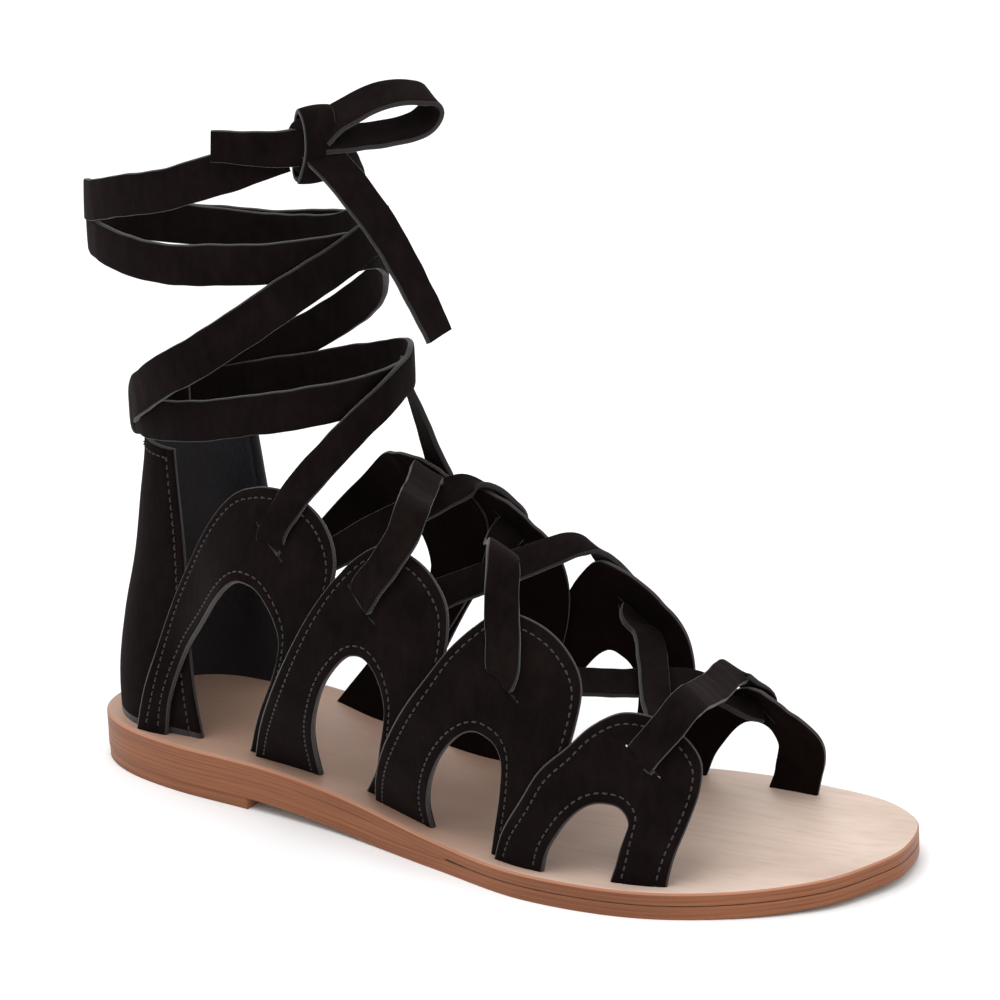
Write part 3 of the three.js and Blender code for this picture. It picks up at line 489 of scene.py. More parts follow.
def add_piece(name, points, faces, places, parts, finishes, replaced=(), slot="suede"):
    """Mesh of quads at the origin, with a UV place in metres for every corner and a finish for
    every face. Points that fall together are merged, so that poles and seams are closed."""
    points = np.asarray(points, float)
    if not outward(points, faces):
        faces, places = faces[:, ::-1], places[:, ::-1]
    mesh = bpy.data.meshes.new(name)
    mesh.vertices.add(len(points))
    mesh.vertices.foreach_set("co", metres(points).astype(np.float32).ravel())
    mesh.loops.add(faces.size)
    mesh.loops.foreach_set("vertex_index", faces.astype(np.int32).ravel())
    mesh.polygons.add(len(faces))
    mesh.polygons.foreach_set("loop_start", np.arange(0, faces.size, 4, dtype=np.int32))
    mesh.update(calc_edges=True)
    mesh.polygons.foreach_set("material_index", np.asarray(parts, np.int32))
    layer = mesh.uv_layers.new(name="Surface")
    layer.data.foreach_set("uv", (np.asarray(places, float) * MM).astype(np.float32).ravel())
    for finish in finishes:
        mesh.materials.append(finish)
    shell = bmesh.new()
    shell.from_mesh(mesh)
    bmesh.ops.remove_doubles(shell, verts=shell.verts, dist=2e-6)
    shell.to_mesh(mesh)
    shell.free()
    mesh.shade_smooth()
    piece = bpy.data.objects.new(name, mesh)
    bpy.context.scene.collection.objects.link(piece)
    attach(piece, "root")
    for node in replaced:
        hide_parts(node)
    return piece


def corner_places(u, v):
    """UV places of a grid's quads, from its two grids of distances, in the order of its corners."""
    place = np.stack([u, v], -1)
    corners = [place[:-1, :-1], place[:-1, 1:], place[1:, 1:], place[1:, :-1]]
    return np.stack(corners, -2).reshape(-1, 4, 2)


def slab(outer, inner, u, v):
    """Closed wall between two grids of points with the same rows and columns: points, faces, UV
    places, and for each face its part. The outer face counts as cut edge beside its two long rims,
    where the cut edge's colour is partly a painted rim highlight."""
    rows, cols = outer.shape[:2]
    size = rows * cols
    points = np.concatenate([outer.reshape(-1, 3), inner.reshape(-1, 3)])
    front, back = grid_faces(rows, cols), grid_faces(rows, cols, first=size)[:, ::-1]
    number = np.arange(size).reshape(rows, cols)
    rims = [number[:, 0][::-1], number[:, -1], number[0], number[-1][::-1]]
    flat_u, flat_v = u.ravel(), v.ravel()
    sides, side_places = [], []
    for rim in rims:
        a, b = rim[:-1], rim[1:]
        sides.append(np.stack([b, a, a + size, b + size], -1))
        along = np.stack([flat_u[b], flat_u[a], flat_u[a], flat_u[b]], -1)
        across = np.stack([flat_v[b], flat_v[a], flat_v[a], flat_v[b]], -1)
        side_places.append(np.stack([along, across], -1))
    places = corner_places(u, v)
    faces = np.concatenate([front, back, *sides])
    places = np.concatenate([places, places[:, ::-1], *side_places])
    # The faces beside the two long rims take the cut edge's colour: the edge's own tone and a painted rim
    # highlight.
    near_rim = np.full((rows - 1, cols - 1), FACE)
    near_rim[:, [0, 1, -2, -1]] = CUT
    parts = np.concatenate([near_rim.ravel(), np.full(len(back), BACK), np.full(sum(map(len, sides)), CUT)])
    return points, faces, places, parts


def lengths(line):
    """Distance along a line of points, from its start."""
    return np.concatenate([[0], np.cumsum(np.linalg.norm(np.diff(line, axis=0), axis=1))])


def even(line, step, *more):
    """Distances about a step apart along a line, its points there, and whatever else goes with them."""
    along = lengths(line)
    at = np.linspace(0, along[-1], max(2, int(round(along[-1] / step)) + 1))
    pick = [np.stack([np.interp(at, along, values[:, k]) for k in range(values.shape[1])], 1)
            for values in (line, *more)]
    return (at, *pick)


def smooth_path(points, faces):
    """Dense smooth curve through some points, with the vectors at the points carried along it. It
    is the cubic through them over the sum of the square roots of their distances."""
    points, faces = np.asarray(points, float), np.asarray(faces, float)
    knots = np.concatenate([[0], np.cumsum(np.linalg.norm(np.diff(points, axis=0), axis=1) ** 0.5)])
    at = np.unique(np.concatenate([np.linspace(a, b, 24) for a, b in zip(knots[:-1], knots[1:])]))
    turned = np.stack([np.interp(at, knots, faces[:, k]) for k in range(3)], 1)
    return cubic(knots, points, at), unit(turned)


def soften(vectors, reach):
    """Moving average of vectors over a few neighbours, at length 1."""
    padded = np.pad(vectors, ((reach, reach), (0, 0)), mode="edge")
    window = np.ones(2 * reach + 1) / (2 * reach + 1)
    return unit(np.stack([np.convolve(padded[:, k], window, mode="valid") for k in range(3)], 1))


def wander(at, phase, long=31.0, short=12.3):
    """Slow wave of two sines between -1 and 1."""
    return 0.6 * np.sin(at / long * 2 * np.pi + phase) + 0.4 * np.sin(at / short * 2 * np.pi + 1.7 * phase)


def band_section(width, thick, cup):
    """Section of a band: half the points, from one cut edge over the face to the other, then the
    same again on the way back. The face is flat between rounded edges, plus a shallow parabola."""
    half, thick = width / 2, thick / 2
    rim = thick * 0.62
    bend = np.radians([90, 55, 20])
    flat = np.linspace(-half + rim, half - rim, 9)[1:-1]
    round_y, round_z = half - rim + rim * np.cos(bend), thick - rim + rim * np.sin(bend)
    side_y = np.concatenate([-round_y[::-1], flat, round_y])
    side_z = np.concatenate([round_z[::-1], np.full(len(flat), thick), round_z])
    y = np.concatenate([side_y, side_y[::-1]])
    z = np.concatenate([side_z, -side_z[::-1]])
    return y, z + cup * (1 - (2 * y / width) ** 2) - cup / 2


def ribbon(path, faces, width, thickness, step=0.9, phase=0.0, cup=0.12, taper=None):
    """Closed flat band along a path: its section is carried along, square to the path, and turned to
    the directions of the face. Its width and edges wander slightly, as cut leather does."""
    at, line, looks = even(path, step, faces)
    looks = soften(unit(looks), 2)
    ahead = unit(np.gradient(line, axis=0))
    across = unit(np.cross(ahead, looks))
    looks = unit(np.cross(across, ahead))
    y, z = band_section(width, thickness, cup)
    narrow = 1 + 0.018 * wander(at, phase)
    if taper is not None:
        narrow = narrow * taper(at / at[-1])
    sway = 0.12 * wander(at, phase + 2.0, 23.0, 9.1)
    rise = 0.10 * wander(at, phase + 4.0, 17.0, 7.7)
    points = (line[:, None] + across[:, None] * (y[None] * narrow[:, None] + sway[:, None])[..., None]
              + looks[:, None] * (z[None] + rise[:, None])[..., None])
    rows, cols = points.shape[:2]
    top = cols // 2
    around = np.concatenate([y[:top], width + 2 - y[top:]])
    around = np.append(around, around[0] + 2 * width + 4)
    places = corner_places(np.repeat(at[:, None], cols + 1, 1), np.repeat(around[None], rows, 0))
    # The band's rounded edges take the lace edge's colour, partly a painted rim highlight.
    part_of = np.full(cols, FACE)
    part_of[[0, top - 2, top - 1, top, cols - 2, cols - 1]] = CUT
    j = np.arange(top - 1)
    cap = np.stack([j, j + 1, cols - 2 - j, cols - 1 - j], -1)
    ends = np.concatenate([cap[:, ::-1], cap + (rows - 1) * cols])
    end_places = np.stack([y[ends % cols], z[ends % cols]], -1)
    return (points.reshape(-1, 3), np.concatenate([grid_faces(rows, cols, wrap_cols=True), ends]),
            np.concatenate([places, end_places]),
            np.concatenate([np.tile(part_of, rows - 1), np.full(len(ends), CUT)]))


def joined(shapes):
    """Several shapes as one: points, faces, UV places and parts."""
    points, faces, places, parts = zip(*shapes)
    starts = np.cumsum([0, *map(len, points[:-1])])
    faces = [quads + start for quads, start in zip(faces, starts)]
    return tuple(np.concatenate(values) for values in (points, faces, places, parts))


# ================================================================ finishes
def blank_finish(name):
    """Material with a Principled shader and nothing else."""
    finish = bpy.data.materials.new(name)
    finish.use_nodes = True
    tree = finish.node_tree
    tree.nodes.clear()
    output = tree.nodes.new("ShaderNodeOutputMaterial")
    shader = tree.nodes.new("ShaderNodeBsdfPrincipled")
    tree.links.new(shader.outputs[0], output.inputs[0])
    return finish, tree, shader


def connect(tree, node, inputs):
    """Gives a node its inputs, by name or number: each is a value or another node's output."""
    for place, value in inputs.items():
        if isinstance(value, bpy.types.NodeSocket):
            tree.links.new(value, node.inputs[place])
        else:
            node.inputs[place].default_value = value


def add(tree, kind, inputs, **settings):
    """Node of a kind, with its settings and its inputs."""
    made = tree.nodes.new(kind)
    for name, value in settings.items():
        setattr(made, name, value)
    connect(tree, made, inputs)
    return made


def stretched(tree, scale=(1, 1, 1), source="Object"):
    """Object or UV coordinates, multiplied by a scale on each axis."""
    coordinates = add(tree, "ShaderNodeTexCoord", {})
    inputs = {"Vector": coordinates.outputs[source], "Scale": scale}
    return add(tree, "ShaderNodeMapping", inputs).outputs[0]


def noise(tree, vector, scale, detail=3.0, roughness=0.55):
    """Noise between 0 and 1."""
    inputs = {"Vector": vector, "Scale": scale, "Detail": detail, "Roughness": roughness}
    return add(tree, "ShaderNodeTexNoise", inputs).outputs[0]


def cells(tree, vector, scale):
    """Distance from the nearest of many scattered points."""
    return add(tree, "ShaderNodeTexVoronoi", {"Vector": vector, "Scale": scale}).outputs["Distance"]


def spread(tree, value, low, high, to_low=0.0, to_high=1.0):
    """A value's range from low to high, carried to another range and held there."""
    inputs = {"Value": value, "From Min": low, "From Max": high, "To Min": to_low, "To Max": to_high}
    return add(tree, "ShaderNodeMapRange", inputs).outputs[0]


def weighed(tree, *terms):
    """Sum of some outputs, each times its weight."""
    total = None
    for value, weight in terms:
        part = add(tree, "ShaderNodeMath", {0: value, 1: weight}, operation="MULTIPLY").outputs[0]
        if total is not None:
            part = add(tree, "ShaderNodeMath", {0: total, 1: part}, operation="ADD").outputs[0]
        total = part
    return total


def blend(tree, share, a, b):
    """Colour a at share 0 and b at share 1. Each is a colour's three numbers or an output."""
    a, b = (value if isinstance(value, bpy.types.NodeSocket) else (*value, 1) for value in (a, b))
    return add(tree, "ShaderNodeMix", {0: share, 6: a, 7: b}, data_type="RGBA").outputs[2]


def shaded(colour, factor):
    """A colour made darker or lighter by a factor."""
    return tuple(factor * value for value in colour)


def bump(tree, height, strength, distance, normal=None):
    """Normal of a surface with that relief."""
    inputs = {"Height": height, "Strength": strength, "Distance": distance}
    if normal is not None:
        inputs["Normal"] = normal
    return add(tree, "ShaderNodeBump", inputs).outputs[0]


def suede_finish(name, deep, nap, sheen=0.035, hand=1.0):
    """Suede: a short nap that lies one way in some places and is brushed up in others, so that it
    is lighter in soft patches and streaks, over fine grain."""
    finish, tree, shader = blank_finish(name)
    place = stretched(tree)
    patches = noise(tree, place, 75, 3, 0.6)
    streaks = noise(tree, stretched(tree, (1, 0.6, 0.35)), 420, 4, 0.65)
    grain = noise(tree, place, 2600, 2, 0.6)
    share = weighed(tree, (spread(tree, patches, 0.35, 0.68), 0.5 * hand),
                    (spread(tree, streaks, 0.35, 0.7), 0.35), (spread(tree, grain, 0.3, 0.75), 0.25))
    connect(tree, shader, {
        "Base Color": blend(tree, share, deep, nap),
        "Roughness": 0.92,
        "Specular IOR Level": 0.03,
        "Sheen Weight": sheen,
        "Sheen Roughness": 0.42,
        "Sheen Tint": (0.62, 0.50, 0.46, 1),
        "Normal": bump(tree, grain, 0.55, 0.00016, bump(tree, streaks, 0.35, 0.0005)),
    })
    return finish


def cut_edge_and_highlight_finish(name, cut):
    """Raw cut edge of suede: loose fibres, lighter than the face, partly their own tone and partly a
    painted highlight of light catching the rim.
    """
    finish, tree, shader = blank_finish(name)
    fibres = noise(tree, stretched(tree), 1900, 4, 0.7)
    connect(tree, shader, {
        "Base Color": blend(tree, spread(tree, fibres, 0.35, 0.7), shaded(cut, 0.45), cut),
        "Roughness": 0.9,
        "Sheen Weight": 0.25,
        "Sheen Roughness": 0.4,
        "Normal": bump(tree, fibres, 0.6, 0.0003),
    })
    return finish


def lining_finish(name, lining):
    """Smooth dark lining leather with a fine pebble."""
    finish, tree, shader = blank_finish(name)
    place = stretched(tree)
    clouds = noise(tree, place, 60, 4, 0.6)
    connect(tree, shader, {
        "Base Color": blend(tree, spread(tree, clouds, 0.3, 0.7), lining, shaded(lining, 2.3)),
        "Roughness": 0.62,
        "Normal": bump(tree, cells(tree, place, 1100), 0.4, 0.0002),
    })
    return finish


def thread_finish(name, thread):
    """Sewing thread with a fine twist."""
    finish, tree, shader = blank_finish(name)
    twist = noise(tree, stretched(tree), 3200, 2, 0.5)
    connect(tree, shader, {
        "Base Color": blend(tree, spread(tree, twist, 0.3, 0.7), shaded(thread, 0.5), thread),
        "Roughness": 0.6,
        "Sheen Weight": 0.2,
    })
    return finish


def insole_finish(name, heel, toe):
    """Natural leather: paler at the toe and browner and darker over the back of the sole up to the toe
    arches, partly the leather's own tone and partly painted shade of the arches over the insole, with
    soft soiling where the foot rests, streaks of grain along the shoe, pores and faint flecks."""
    finish, tree, shader = blank_finish(name)
    along = add(tree, "ShaderNodeSeparateXYZ", {"Vector": stretched(tree)}).outputs[0]
    clouds = noise(tree, stretched(tree, (0.6, 1, 1)), 26, 4, 0.55)
    streaks = noise(tree, stretched(tree, (0.09, 1, 1)), 620, 5, 0.6)
    flecks = noise(tree, stretched(tree, (0.35, 1, 1)), 210, 3, 0.75)
    pores = cells(tree, stretched(tree, (0.7, 1, 1)), 1500)
    # Painted shade: behind the toe arches the insole takes the darker heel colour, partly the leather's own
    # tone and partly the arches' shade painted in.
    base = blend(tree, spread(tree, along, 0.10, 0.18), heel, toe)
    base = blend(tree, spread(tree, clouds, 0.48, 0.78, 0, 0.5), base, shaded(heel, 0.72))
    base = blend(tree, spread(tree, streaks, 0.45, 0.8, 0, 0.38), base, shaded(heel, 0.83))
    base = blend(tree, spread(tree, flecks, 0.68, 0.8, 0, 0.30), base, shaded(heel, 0.36))
    connect(tree, shader, {
        "Base Color": base,
        "Roughness": spread(tree, clouds, 0.3, 0.8, 0.50, 0.66),
        "Normal": bump(tree, pores, 0.10, 0.0002, bump(tree, streaks, 0.14, 0.0004)),
    })
    return finish


def edge_finish(name, light, dark):
    """Burnished leather edge: thin fibre lines along it, on the piece's own distances along and up
    its side, under a slight polish."""
    finish, tree, shader = blank_finish(name)
    fibres = noise(tree, stretched(tree, (22, 1500, 1), "UV"), 1.0, 5, 0.6)
    bands = noise(tree, stretched(tree, (9, 420, 1), "UV"), 1.0, 3, 0.5)
    share = weighed(tree, (spread(tree, fibres, 0.35, 0.7), 0.55), (spread(tree, bands, 0.35, 0.65), 0.45))
    connect(tree, shader, {
        "Base Color": blend(tree, share, light, dark),
        "Roughness": 0.5,
        "Specular IOR Level": 0.3,
        "Coat Weight": 0.05,
        "Coat Roughness": 0.35,
        "Normal": bump(tree, fibres, 0.25, 0.0002),
    })
    return finish


def underside_finish(name, sole):
    """Outsole leather with scuffs from standing."""
    finish, tree, shader = blank_finish(name)
    grain = noise(tree, stretched(tree, (0.3, 1, 1)), 520, 5, 0.65)
    connect(tree, shader, {
        "Base Color": blend(tree, spread(tree, grain, 0.35, 0.7), shaded(sole, 0.6), sole),
        "Roughness": 0.6,
        "Normal": bump(tree, grain, 0.25, 0.0003),
    })
    return finish


def finish_named(name):
    """A finish, made the first time that it is asked for. Its own name starts with "fine", because
    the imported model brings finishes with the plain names."""
    fine = f"fine {name}"
    if fine in bpy.data.materials:
        return bpy.data.materials[fine]
    colours = bpy.context.scene.sandal_colours
    deep, nap, cut = tuple(colours.suede), tuple(colours.nap), tuple(colours.cut)
    light, dark = tuple(colours.edge), tuple(colours.edge_dark)
    maker, *facts = {
        "suede": (suede_finish, deep, nap),
        "lace suede": (suede_finish, deep, shaded(nap, 1.15), 0.045, 0.8),
        "flesh side": (suede_finish, deep, tuple(colours.flesh), 0.02),
        # The cut edge and lace edge colours are partly the fibres' own tone and partly a painted rim
        # highlight.
        "cut edge": (cut_edge_and_highlight_finish, cut),
        "lace edge": (cut_edge_and_highlight_finish, shaded(cut, 0.4)),
        "lining leather": (lining_finish, tuple(colours.lining)),
        "thread": (thread_finish, tuple(colours.thread)),
        "insole leather": (insole_finish, tuple(colours.insole_heel_and_shade), tuple(colours.insole_toe)),
        "insole edge": (edge_finish, tuple(colours.insole_edge), light),
        "sole edge": (edge_finish, light, dark),
        "outsole leather": (underside_finish, tuple(colours.sole)),
    }[name]
    return maker(fine, *facts)


def finishes_named(*names):
    """Several finishes, in the order of their names."""
    return [finish_named(name) for name in names]


# ================================================================ bow
def level_looks(line, across):
    """Directions of a band's face, at right angles to its run and to the way its width lies."""
    ahead = unit(np.gradient(line, axis=0))
    return unit(np.cross(np.asarray(across, float), ahead))


def bow_path(route, across):
    """Dense curve through a route's points, with the directions of the band's face. The way its
    width lies turns evenly from the first to the last of the ways given."""
    line = smooth_path(route, np.ones((len(route), 3)))[0]
    share = np.linspace(0, 1, len(line))[:, None]
    return line, level_looks(line, mix(np.array(across[0], float), np.array(across[-1], float), share))


def knot_core(widths, ways):
    """Crowned barrel of folded lace. Its radius is a superellipse of its length times an ellipse,
    with soft folds round it, and its three ways are along it, across it and up."""
    rows, cols = 41, 72
    w = np.sin(np.linspace(-math.pi / 2, math.pi / 2, rows))[:, None]
    a = np.linspace(0, 2 * math.pi, cols, endpoint=False)[None]
    swell = (1 - abs(w) ** 2.6) ** 0.5 * (1 + 0.035 * np.cos(3 * a + 2.2 * w) + 0.03 * np.cos(9 * w + a))
    x = w * widths[0] * 1.12 + 0 * a
    y, z = widths[1] * 0.86 * swell * np.cos(a), widths[2] * 0.90 * swell * np.sin(a)
    points = np.array(KNOT) + sum(offset[..., None] * way for offset, way in zip((x, y, z), ways))
    u = np.repeat(np.linspace(0, 14, rows)[:, None], cols + 1, 1)
    v = np.repeat(np.linspace(0, 40, cols + 1)[None], rows, 0)
    return (points.reshape(-1, 3), grid_faces(rows, cols, wrap_cols=True), corner_places(u, v),
            np.full((rows - 1) * cols, FACE))


def knot_wrap(widths, ways, lace):
    """One turn of lace round the barrel, a little over a circle long, so that its end lies on its
    start. It leans along the barrel as the sine of its angle, and waxes and wanes in width."""
    along, depth, up = ways
    around = np.linspace(math.radians(-105), math.radians(262), 90)
    lift = 0.55 + 0.5 * smooth(np.linspace(0, 1, 90) * 6 - 5)
    reach_y, reach_z = widths[1] * 0.90 + lift, widths[2] * 0.93 + lift
    lean = 0.9 * np.sin(around)
    path = (np.array(KNOT) + lean[:, None] * along + (reach_y * np.cos(around))[:, None] * depth
            + (reach_z * np.sin(around))[:, None] * up)
    looks = unit(np.cos(around)[:, None] / widths[1] * depth + np.sin(around)[:, None] / widths[2] * up)
    return ribbon(path, looks, 10.2, lace * 0.8, step=0.7, phase=0.4, cup=0.5,
                  taper=lambda share: 0.86 + 0.08 * np.cos(share * 12.0))


def knot_shape(lace):
    """Knot: a barrel of folded lace and one turn of lace wrapped over it."""
    turn = math.radians(KNOT_TURN)
    ways = np.array([(math.cos(turn), math.sin(turn), 0), (-math.sin(turn), math.cos(turn), 0), (0, 0, 1)])
    widths = np.array(KNOT_SIZE) / 2
    return joined([knot_core(widths, ways), knot_wrap(widths, ways, lace)])


class SANDAL_OT_bow(bpy.types.Operator):
    """Make the knot, the loop and the two ends of the bow"""

    bl_idname = "sandal.bow"
    bl_label = "Bow"

    def execute(self, context):
        lace = context.scene.sandal_sizes.lace / MM
        width = context.scene.sandal_sizes.lace_width / MM - BOW_NARROWER
        finishes = finishes_named("lace suede", "lace edge")

        def band(name, route, across, **looks):
            """One band of the bow, and the line of its middle."""
            line, faces = bow_path(route, across)
            shape = ribbon(line, faces, width, lace, **looks)
            return add_piece(f"{name}_band", *shape, finishes, [name]), line

        knot = add_piece("bow_knot_folds", *knot_shape(lace), finishes, ["bow_knot"])
        short_end = band("bow_short_end", SHORT_END_ROUTE, [(0, 0, 1)], phase=1.0,
                         taper=lambda share: 1 - 0.17 * share)[0]
        loop, loop_line = band("bow_loop", LOOP_ROUTE, [(0.80, -0.46, -0.40)], phase=2.0)
        end, end_line = band("bow_hanging_end", END_ROUTE, [(0.55, 0.84, 0.25), (0.05, 1, 0.1)],
                             phase=3.1, cup=0.25)
        return {"FINISHED"}


# ================================================================ sole
def outline_loop(start, stop, margin, straight_front):
    """Closed loop of the sole's outline between two stations, drawn in by a margin: its points, its
    inward normals, and for each point its partner on the middle line. The stations lie closer
    together near a round end, as a cosine."""
    stations = 150
    turn = np.pi * np.linspace(0, 1, stations + 1)
    x = mix(start, stop, 1 - np.cos(turn / 2) if straight_front else (1 - np.cos(turn)) / 2)
    inner = np.clip(x, SOLE_BACK + 0.02, SOLE_TIP - 0.02)
    medial, lateral = edge(inner, MEDIAL) - margin, edge(inner, LATERAL) + margin
    middle = (medial + lateral) / 2
    low, high = np.minimum(lateral, middle), np.maximum(medial, middle)
    tip = (x == x[0]) | ((x == x[-1]) & (not straight_front))
    low, high = np.where(tip, middle, low), np.where(tip, middle, high)
    room = 6.0
    spine_x = mix(start + room, stop - room, (x - start) / (stop - start))
    spine = np.stack([spine_x, np.interp(spine_x, x, middle)], 1)
    loop = np.concatenate([np.stack([x, high], 1), np.stack([x, low], 1)[::-1]])
    partners = np.concatenate([spine, spine[::-1]])
    keep = np.ones(len(loop), bool)
    keep[-1] = False
    keep[stations + 1] = straight_front
    loop, partners = loop[keep], partners[keep]
    ahead = np.roll(loop, -1, 0) - np.roll(loop, 1, 0)
    normal = unit(np.stack([-ahead[:, 1], ahead[:, 0]], 1))
    outwards = np.einsum("ij,ij->i", normal, partners - loop) < 0
    return loop, np.where(outwards[:, None], -normal, normal), partners


def raised(places, heights):
    """Points over some places along and across, at their heights."""
    return np.concatenate([places, heights[..., None]], -1)


def layer_shape(start, stop, bottom, top, margin=0.0, straight_front=False, rounding=0.5, relief=None):
    """Layer of the sole: its side is carried round the outline, with quarter circles at its edges,
    and its faces run in from there to the middle line. Parts: 0 top, 1 side, 2 underside."""
    start, stop = max(start, SOLE_BACK + margin), min(stop, SOLE_TIP - margin)
    loop, inward, partners = outline_loop(start, stop, margin, straight_front)
    low = min(rounding, LOWER_ROUNDING)
    turns = np.radians([90, 60, 30, 0])
    drawn_in = np.concatenate([low * (1 - np.cos(turns)), [0, 0], rounding * (1 - np.cos(turns[::-1]))])
    shift = np.concatenate([low * (1 - np.sin(turns)), [0, 0], rounding * (np.sin(turns[::-1]) - 1)])
    share = np.concatenate([np.zeros(4), [1 / 3, 2 / 3], np.ones(4)])
    to_middle = np.array([0.06, 0.14, 0.25, 0.38, 0.52, 0.66, 0.8, 0.9, 1.0])
    side = loop[:, None] + inward[:, None] * drawn_in[None, :, None]
    over = mix(side[:, -1:], partners[:, None], to_middle[None, :, None])
    under = mix(side[:, :1], partners[:, None], to_middle[None, ::-1, None])
    rings = np.concatenate([
        raised(under, bottom(under[..., 0])),
        raised(side, mix(bottom(side[..., 0]), top(side[..., 0]), share[None]) + shift[None]),
        raised(over, top(over[..., 0]) + (relief(over) if relief else 0)),
    ], 1)
    rows, cols = rings.shape[:2]
    closed = np.concatenate([rings, rings[:1]])
    around = np.append(lengths(loop), lengths(loop)[-1] + np.linalg.norm(loop[-1] - loop[0]))
    up = closed[..., 2] - bottom(np.clip(closed[..., 0], start, stop))
    up[:, :len(to_middle)] = 0
    places = corner_places(np.repeat(around[:, None], cols, 1), up)
    part = np.full(cols - 1, 1)
    part[:len(to_middle) + 1] = 2
    part[-len(to_middle) - 1:] = 0
    return rings.reshape(-1, 3), grid_faces(rows, cols, wrap_rows=True), places, np.tile(part, rows)


def foot_dents(places):
    """Relief of the insole: pressed down a little, as a bell curve of the distance, round each strap
    foot and under the heel, the ball and the toes."""
    x, y = places[..., 0], places[..., 1]
    dents = [(34, 2, 24, 16, 0.5), (178, -3, 30, 26, 0.55), (225, 3, 16, 20, 0.25)]
    relief = np.zeros_like(x)
    for rows in ARCHES.values():
        for side in (LATERAL, MEDIAL):
            for row in (rows[0], rows[-1]):
                centre = last((row[0] + row[2]) / 2, 0.0, side)
                relief = relief - 0.28 * np.exp(-((x - centre[0]) / 13) ** 2 - ((y - centre[1]) / 5) ** 2)
    for middle, across, long, wide, depth in dents:
        relief = relief - depth * np.exp(-((x - middle) / long) ** 2 - ((y - across) / wide) ** 2)
    return relief


def insole_bottom(along):
    """Height of the insole's underside."""
    return insole_top(along) - LAYER


def outsole_top(along):
    """Height of the outsole's upper side where nothing lies on it."""
    return outsole_bottom(along) + LAYER


class SANDAL_OT_sole(bpy.types.Operator):
    """Make the heel lift, the outsole and the heel wedge"""

    bl_idname = "sandal.sole"
    bl_label = "Sole"

    def execute(self, context):
        back, past_tip = PAST_ENDS
        layers = {
            "heel_lift": layer_shape(back, LIFT_FRONT, lambda x: 0 * x, lambda x: LIFT + 0.26 + 0 * x,
                                     0.35, True, 0.2),
            "outsole": layer_shape(back, past_tip, outsole_bottom,
                                   lambda x: np.minimum(outsole_top(x), insole_bottom(x) - 0.06),
                                   0.0, False, 0.16),
            "heel_wedge": layer_shape(back, WEDGE_FRONT, lambda x: outsole_top(x) + 0.03,
                                      lambda x: np.maximum(insole_bottom(x) - 0.03, outsole_top(x) + 0.2),
                                      0.04, True, 0.05),
        }
        finishes = finishes_named("outsole leather", "sole edge", "outsole leather")
        for node, shape in layers.items():
            add_piece(f"{node}_leather", *shape, finishes, [node], slot="sole_leather")
        return {"FINISHED"}


class SANDAL_OT_insole(bpy.types.Operator):
    """Make the insole"""

    bl_idname = "sandal.insole"
    bl_label = "Insole"

    def execute(self, context):
        finishes = finishes_named("insole leather", "sole edge", "outsole leather", "insole edge")
        points, faces, places, parts = layer_shape(
            *PAST_ENDS, insole_bottom, insole_top, 0.0, False, 0.75, foot_dents)
        heights = np.median(places[:, :, 1], axis=1)
        parts = np.where((parts == 1) & (heights > LAYER - TRIM), 3, parts)
        add_piece("insole_leather_top", points, faces, places, parts, finishes, ["insole"],
                  slot="insole_leather")
        return {"FINISHED"}


# ================================================================ upper
def arch_rows(name, side):
    """Rows of one arch on one side: the medial ones are moved along and scaled in height."""
    rows = np.array(ARCHES[name], float)
    if side == LATERAL:
        return rows
    foot, crown, within, outer, opening = MEDIAL_ARCH[name]
    moved = rows.copy()
    for along, height, top, rise in ((0, 1, crown, outer), (2, 3, within, opening)):
        moved[:, along] = rows[:, along] + mix(foot, top, rows[:, height] / CROWN)
        moved[:, height] = rows[:, height] * rise
    return moved


def arch_lift(name, share):
    """Stand-off of an arch's underside: its back leg lies over its neighbour, its front leg doesn't."""
    over = OVER_COUNTER if name == "heel_quarter" else OVERLAP
    return over * (1 - smooth((share - 0.42) / 0.3))


def arch_line(name, side):
    """Sections of an arch as rows: outer edge and edge of the opening, as along and height. Then the
    share of the way from foot to foot. The first and the last two sections are sunk feet."""
    rows = arch_rows(name, side)
    share = np.linspace(0, 1, ARCH_ROWS)
    sections = cubic(np.arange(len(rows)), rows, share * (len(rows) - 1))
    feet = []
    for row in (rows[0], rows[-1]):
        deep = np.array([row[0], sunk(row[0], FOOT_DEPTH), row[2], sunk(row[2], FOOT_DEPTH)])
        feet.append([deep, mix(row, deep, 0.5)])
    sections = np.concatenate([feet[0], sections, feet[1][::-1]])
    return sections, np.concatenate([[0, 0], share, [1, 1]])


def arch_width(sections, side):
    """Width of the leather at each section of an arch."""
    return np.linalg.norm(last(*sections[:, :2].T, side) - last(*sections[:, 2:].T, side), axis=1)


def pulled(name, side, along, height):
    """Relief of an arch: raised where the lace pulls round its slot, pinched into soft folds that
    run from the slot to the crown, and slack in slow waves elsewhere. It fades out at the feet."""
    x, h = SLOTS[name][side]
    dx, dz = along - x, (height - h) * ARCH_RISE
    rise, reach_x, reach_z = LIP
    wide, up, long = FOLD_REACH
    lip = rise * np.exp(-(dx / reach_x) ** 2 - (dz / reach_z) ** 2)
    folds = sum(depth * np.exp(-((dx - start - dz * lean) / wide) ** 2 - ((dz - up) / long) ** 2)
                for start, lean, depth in FOLDS)
    slack = 0.20 * np.sin(along / 6.1 + 7 * height) * np.sin(height * 8.5 + along / 23)
    return (lip + folds + slack) * smooth(height / 0.12)


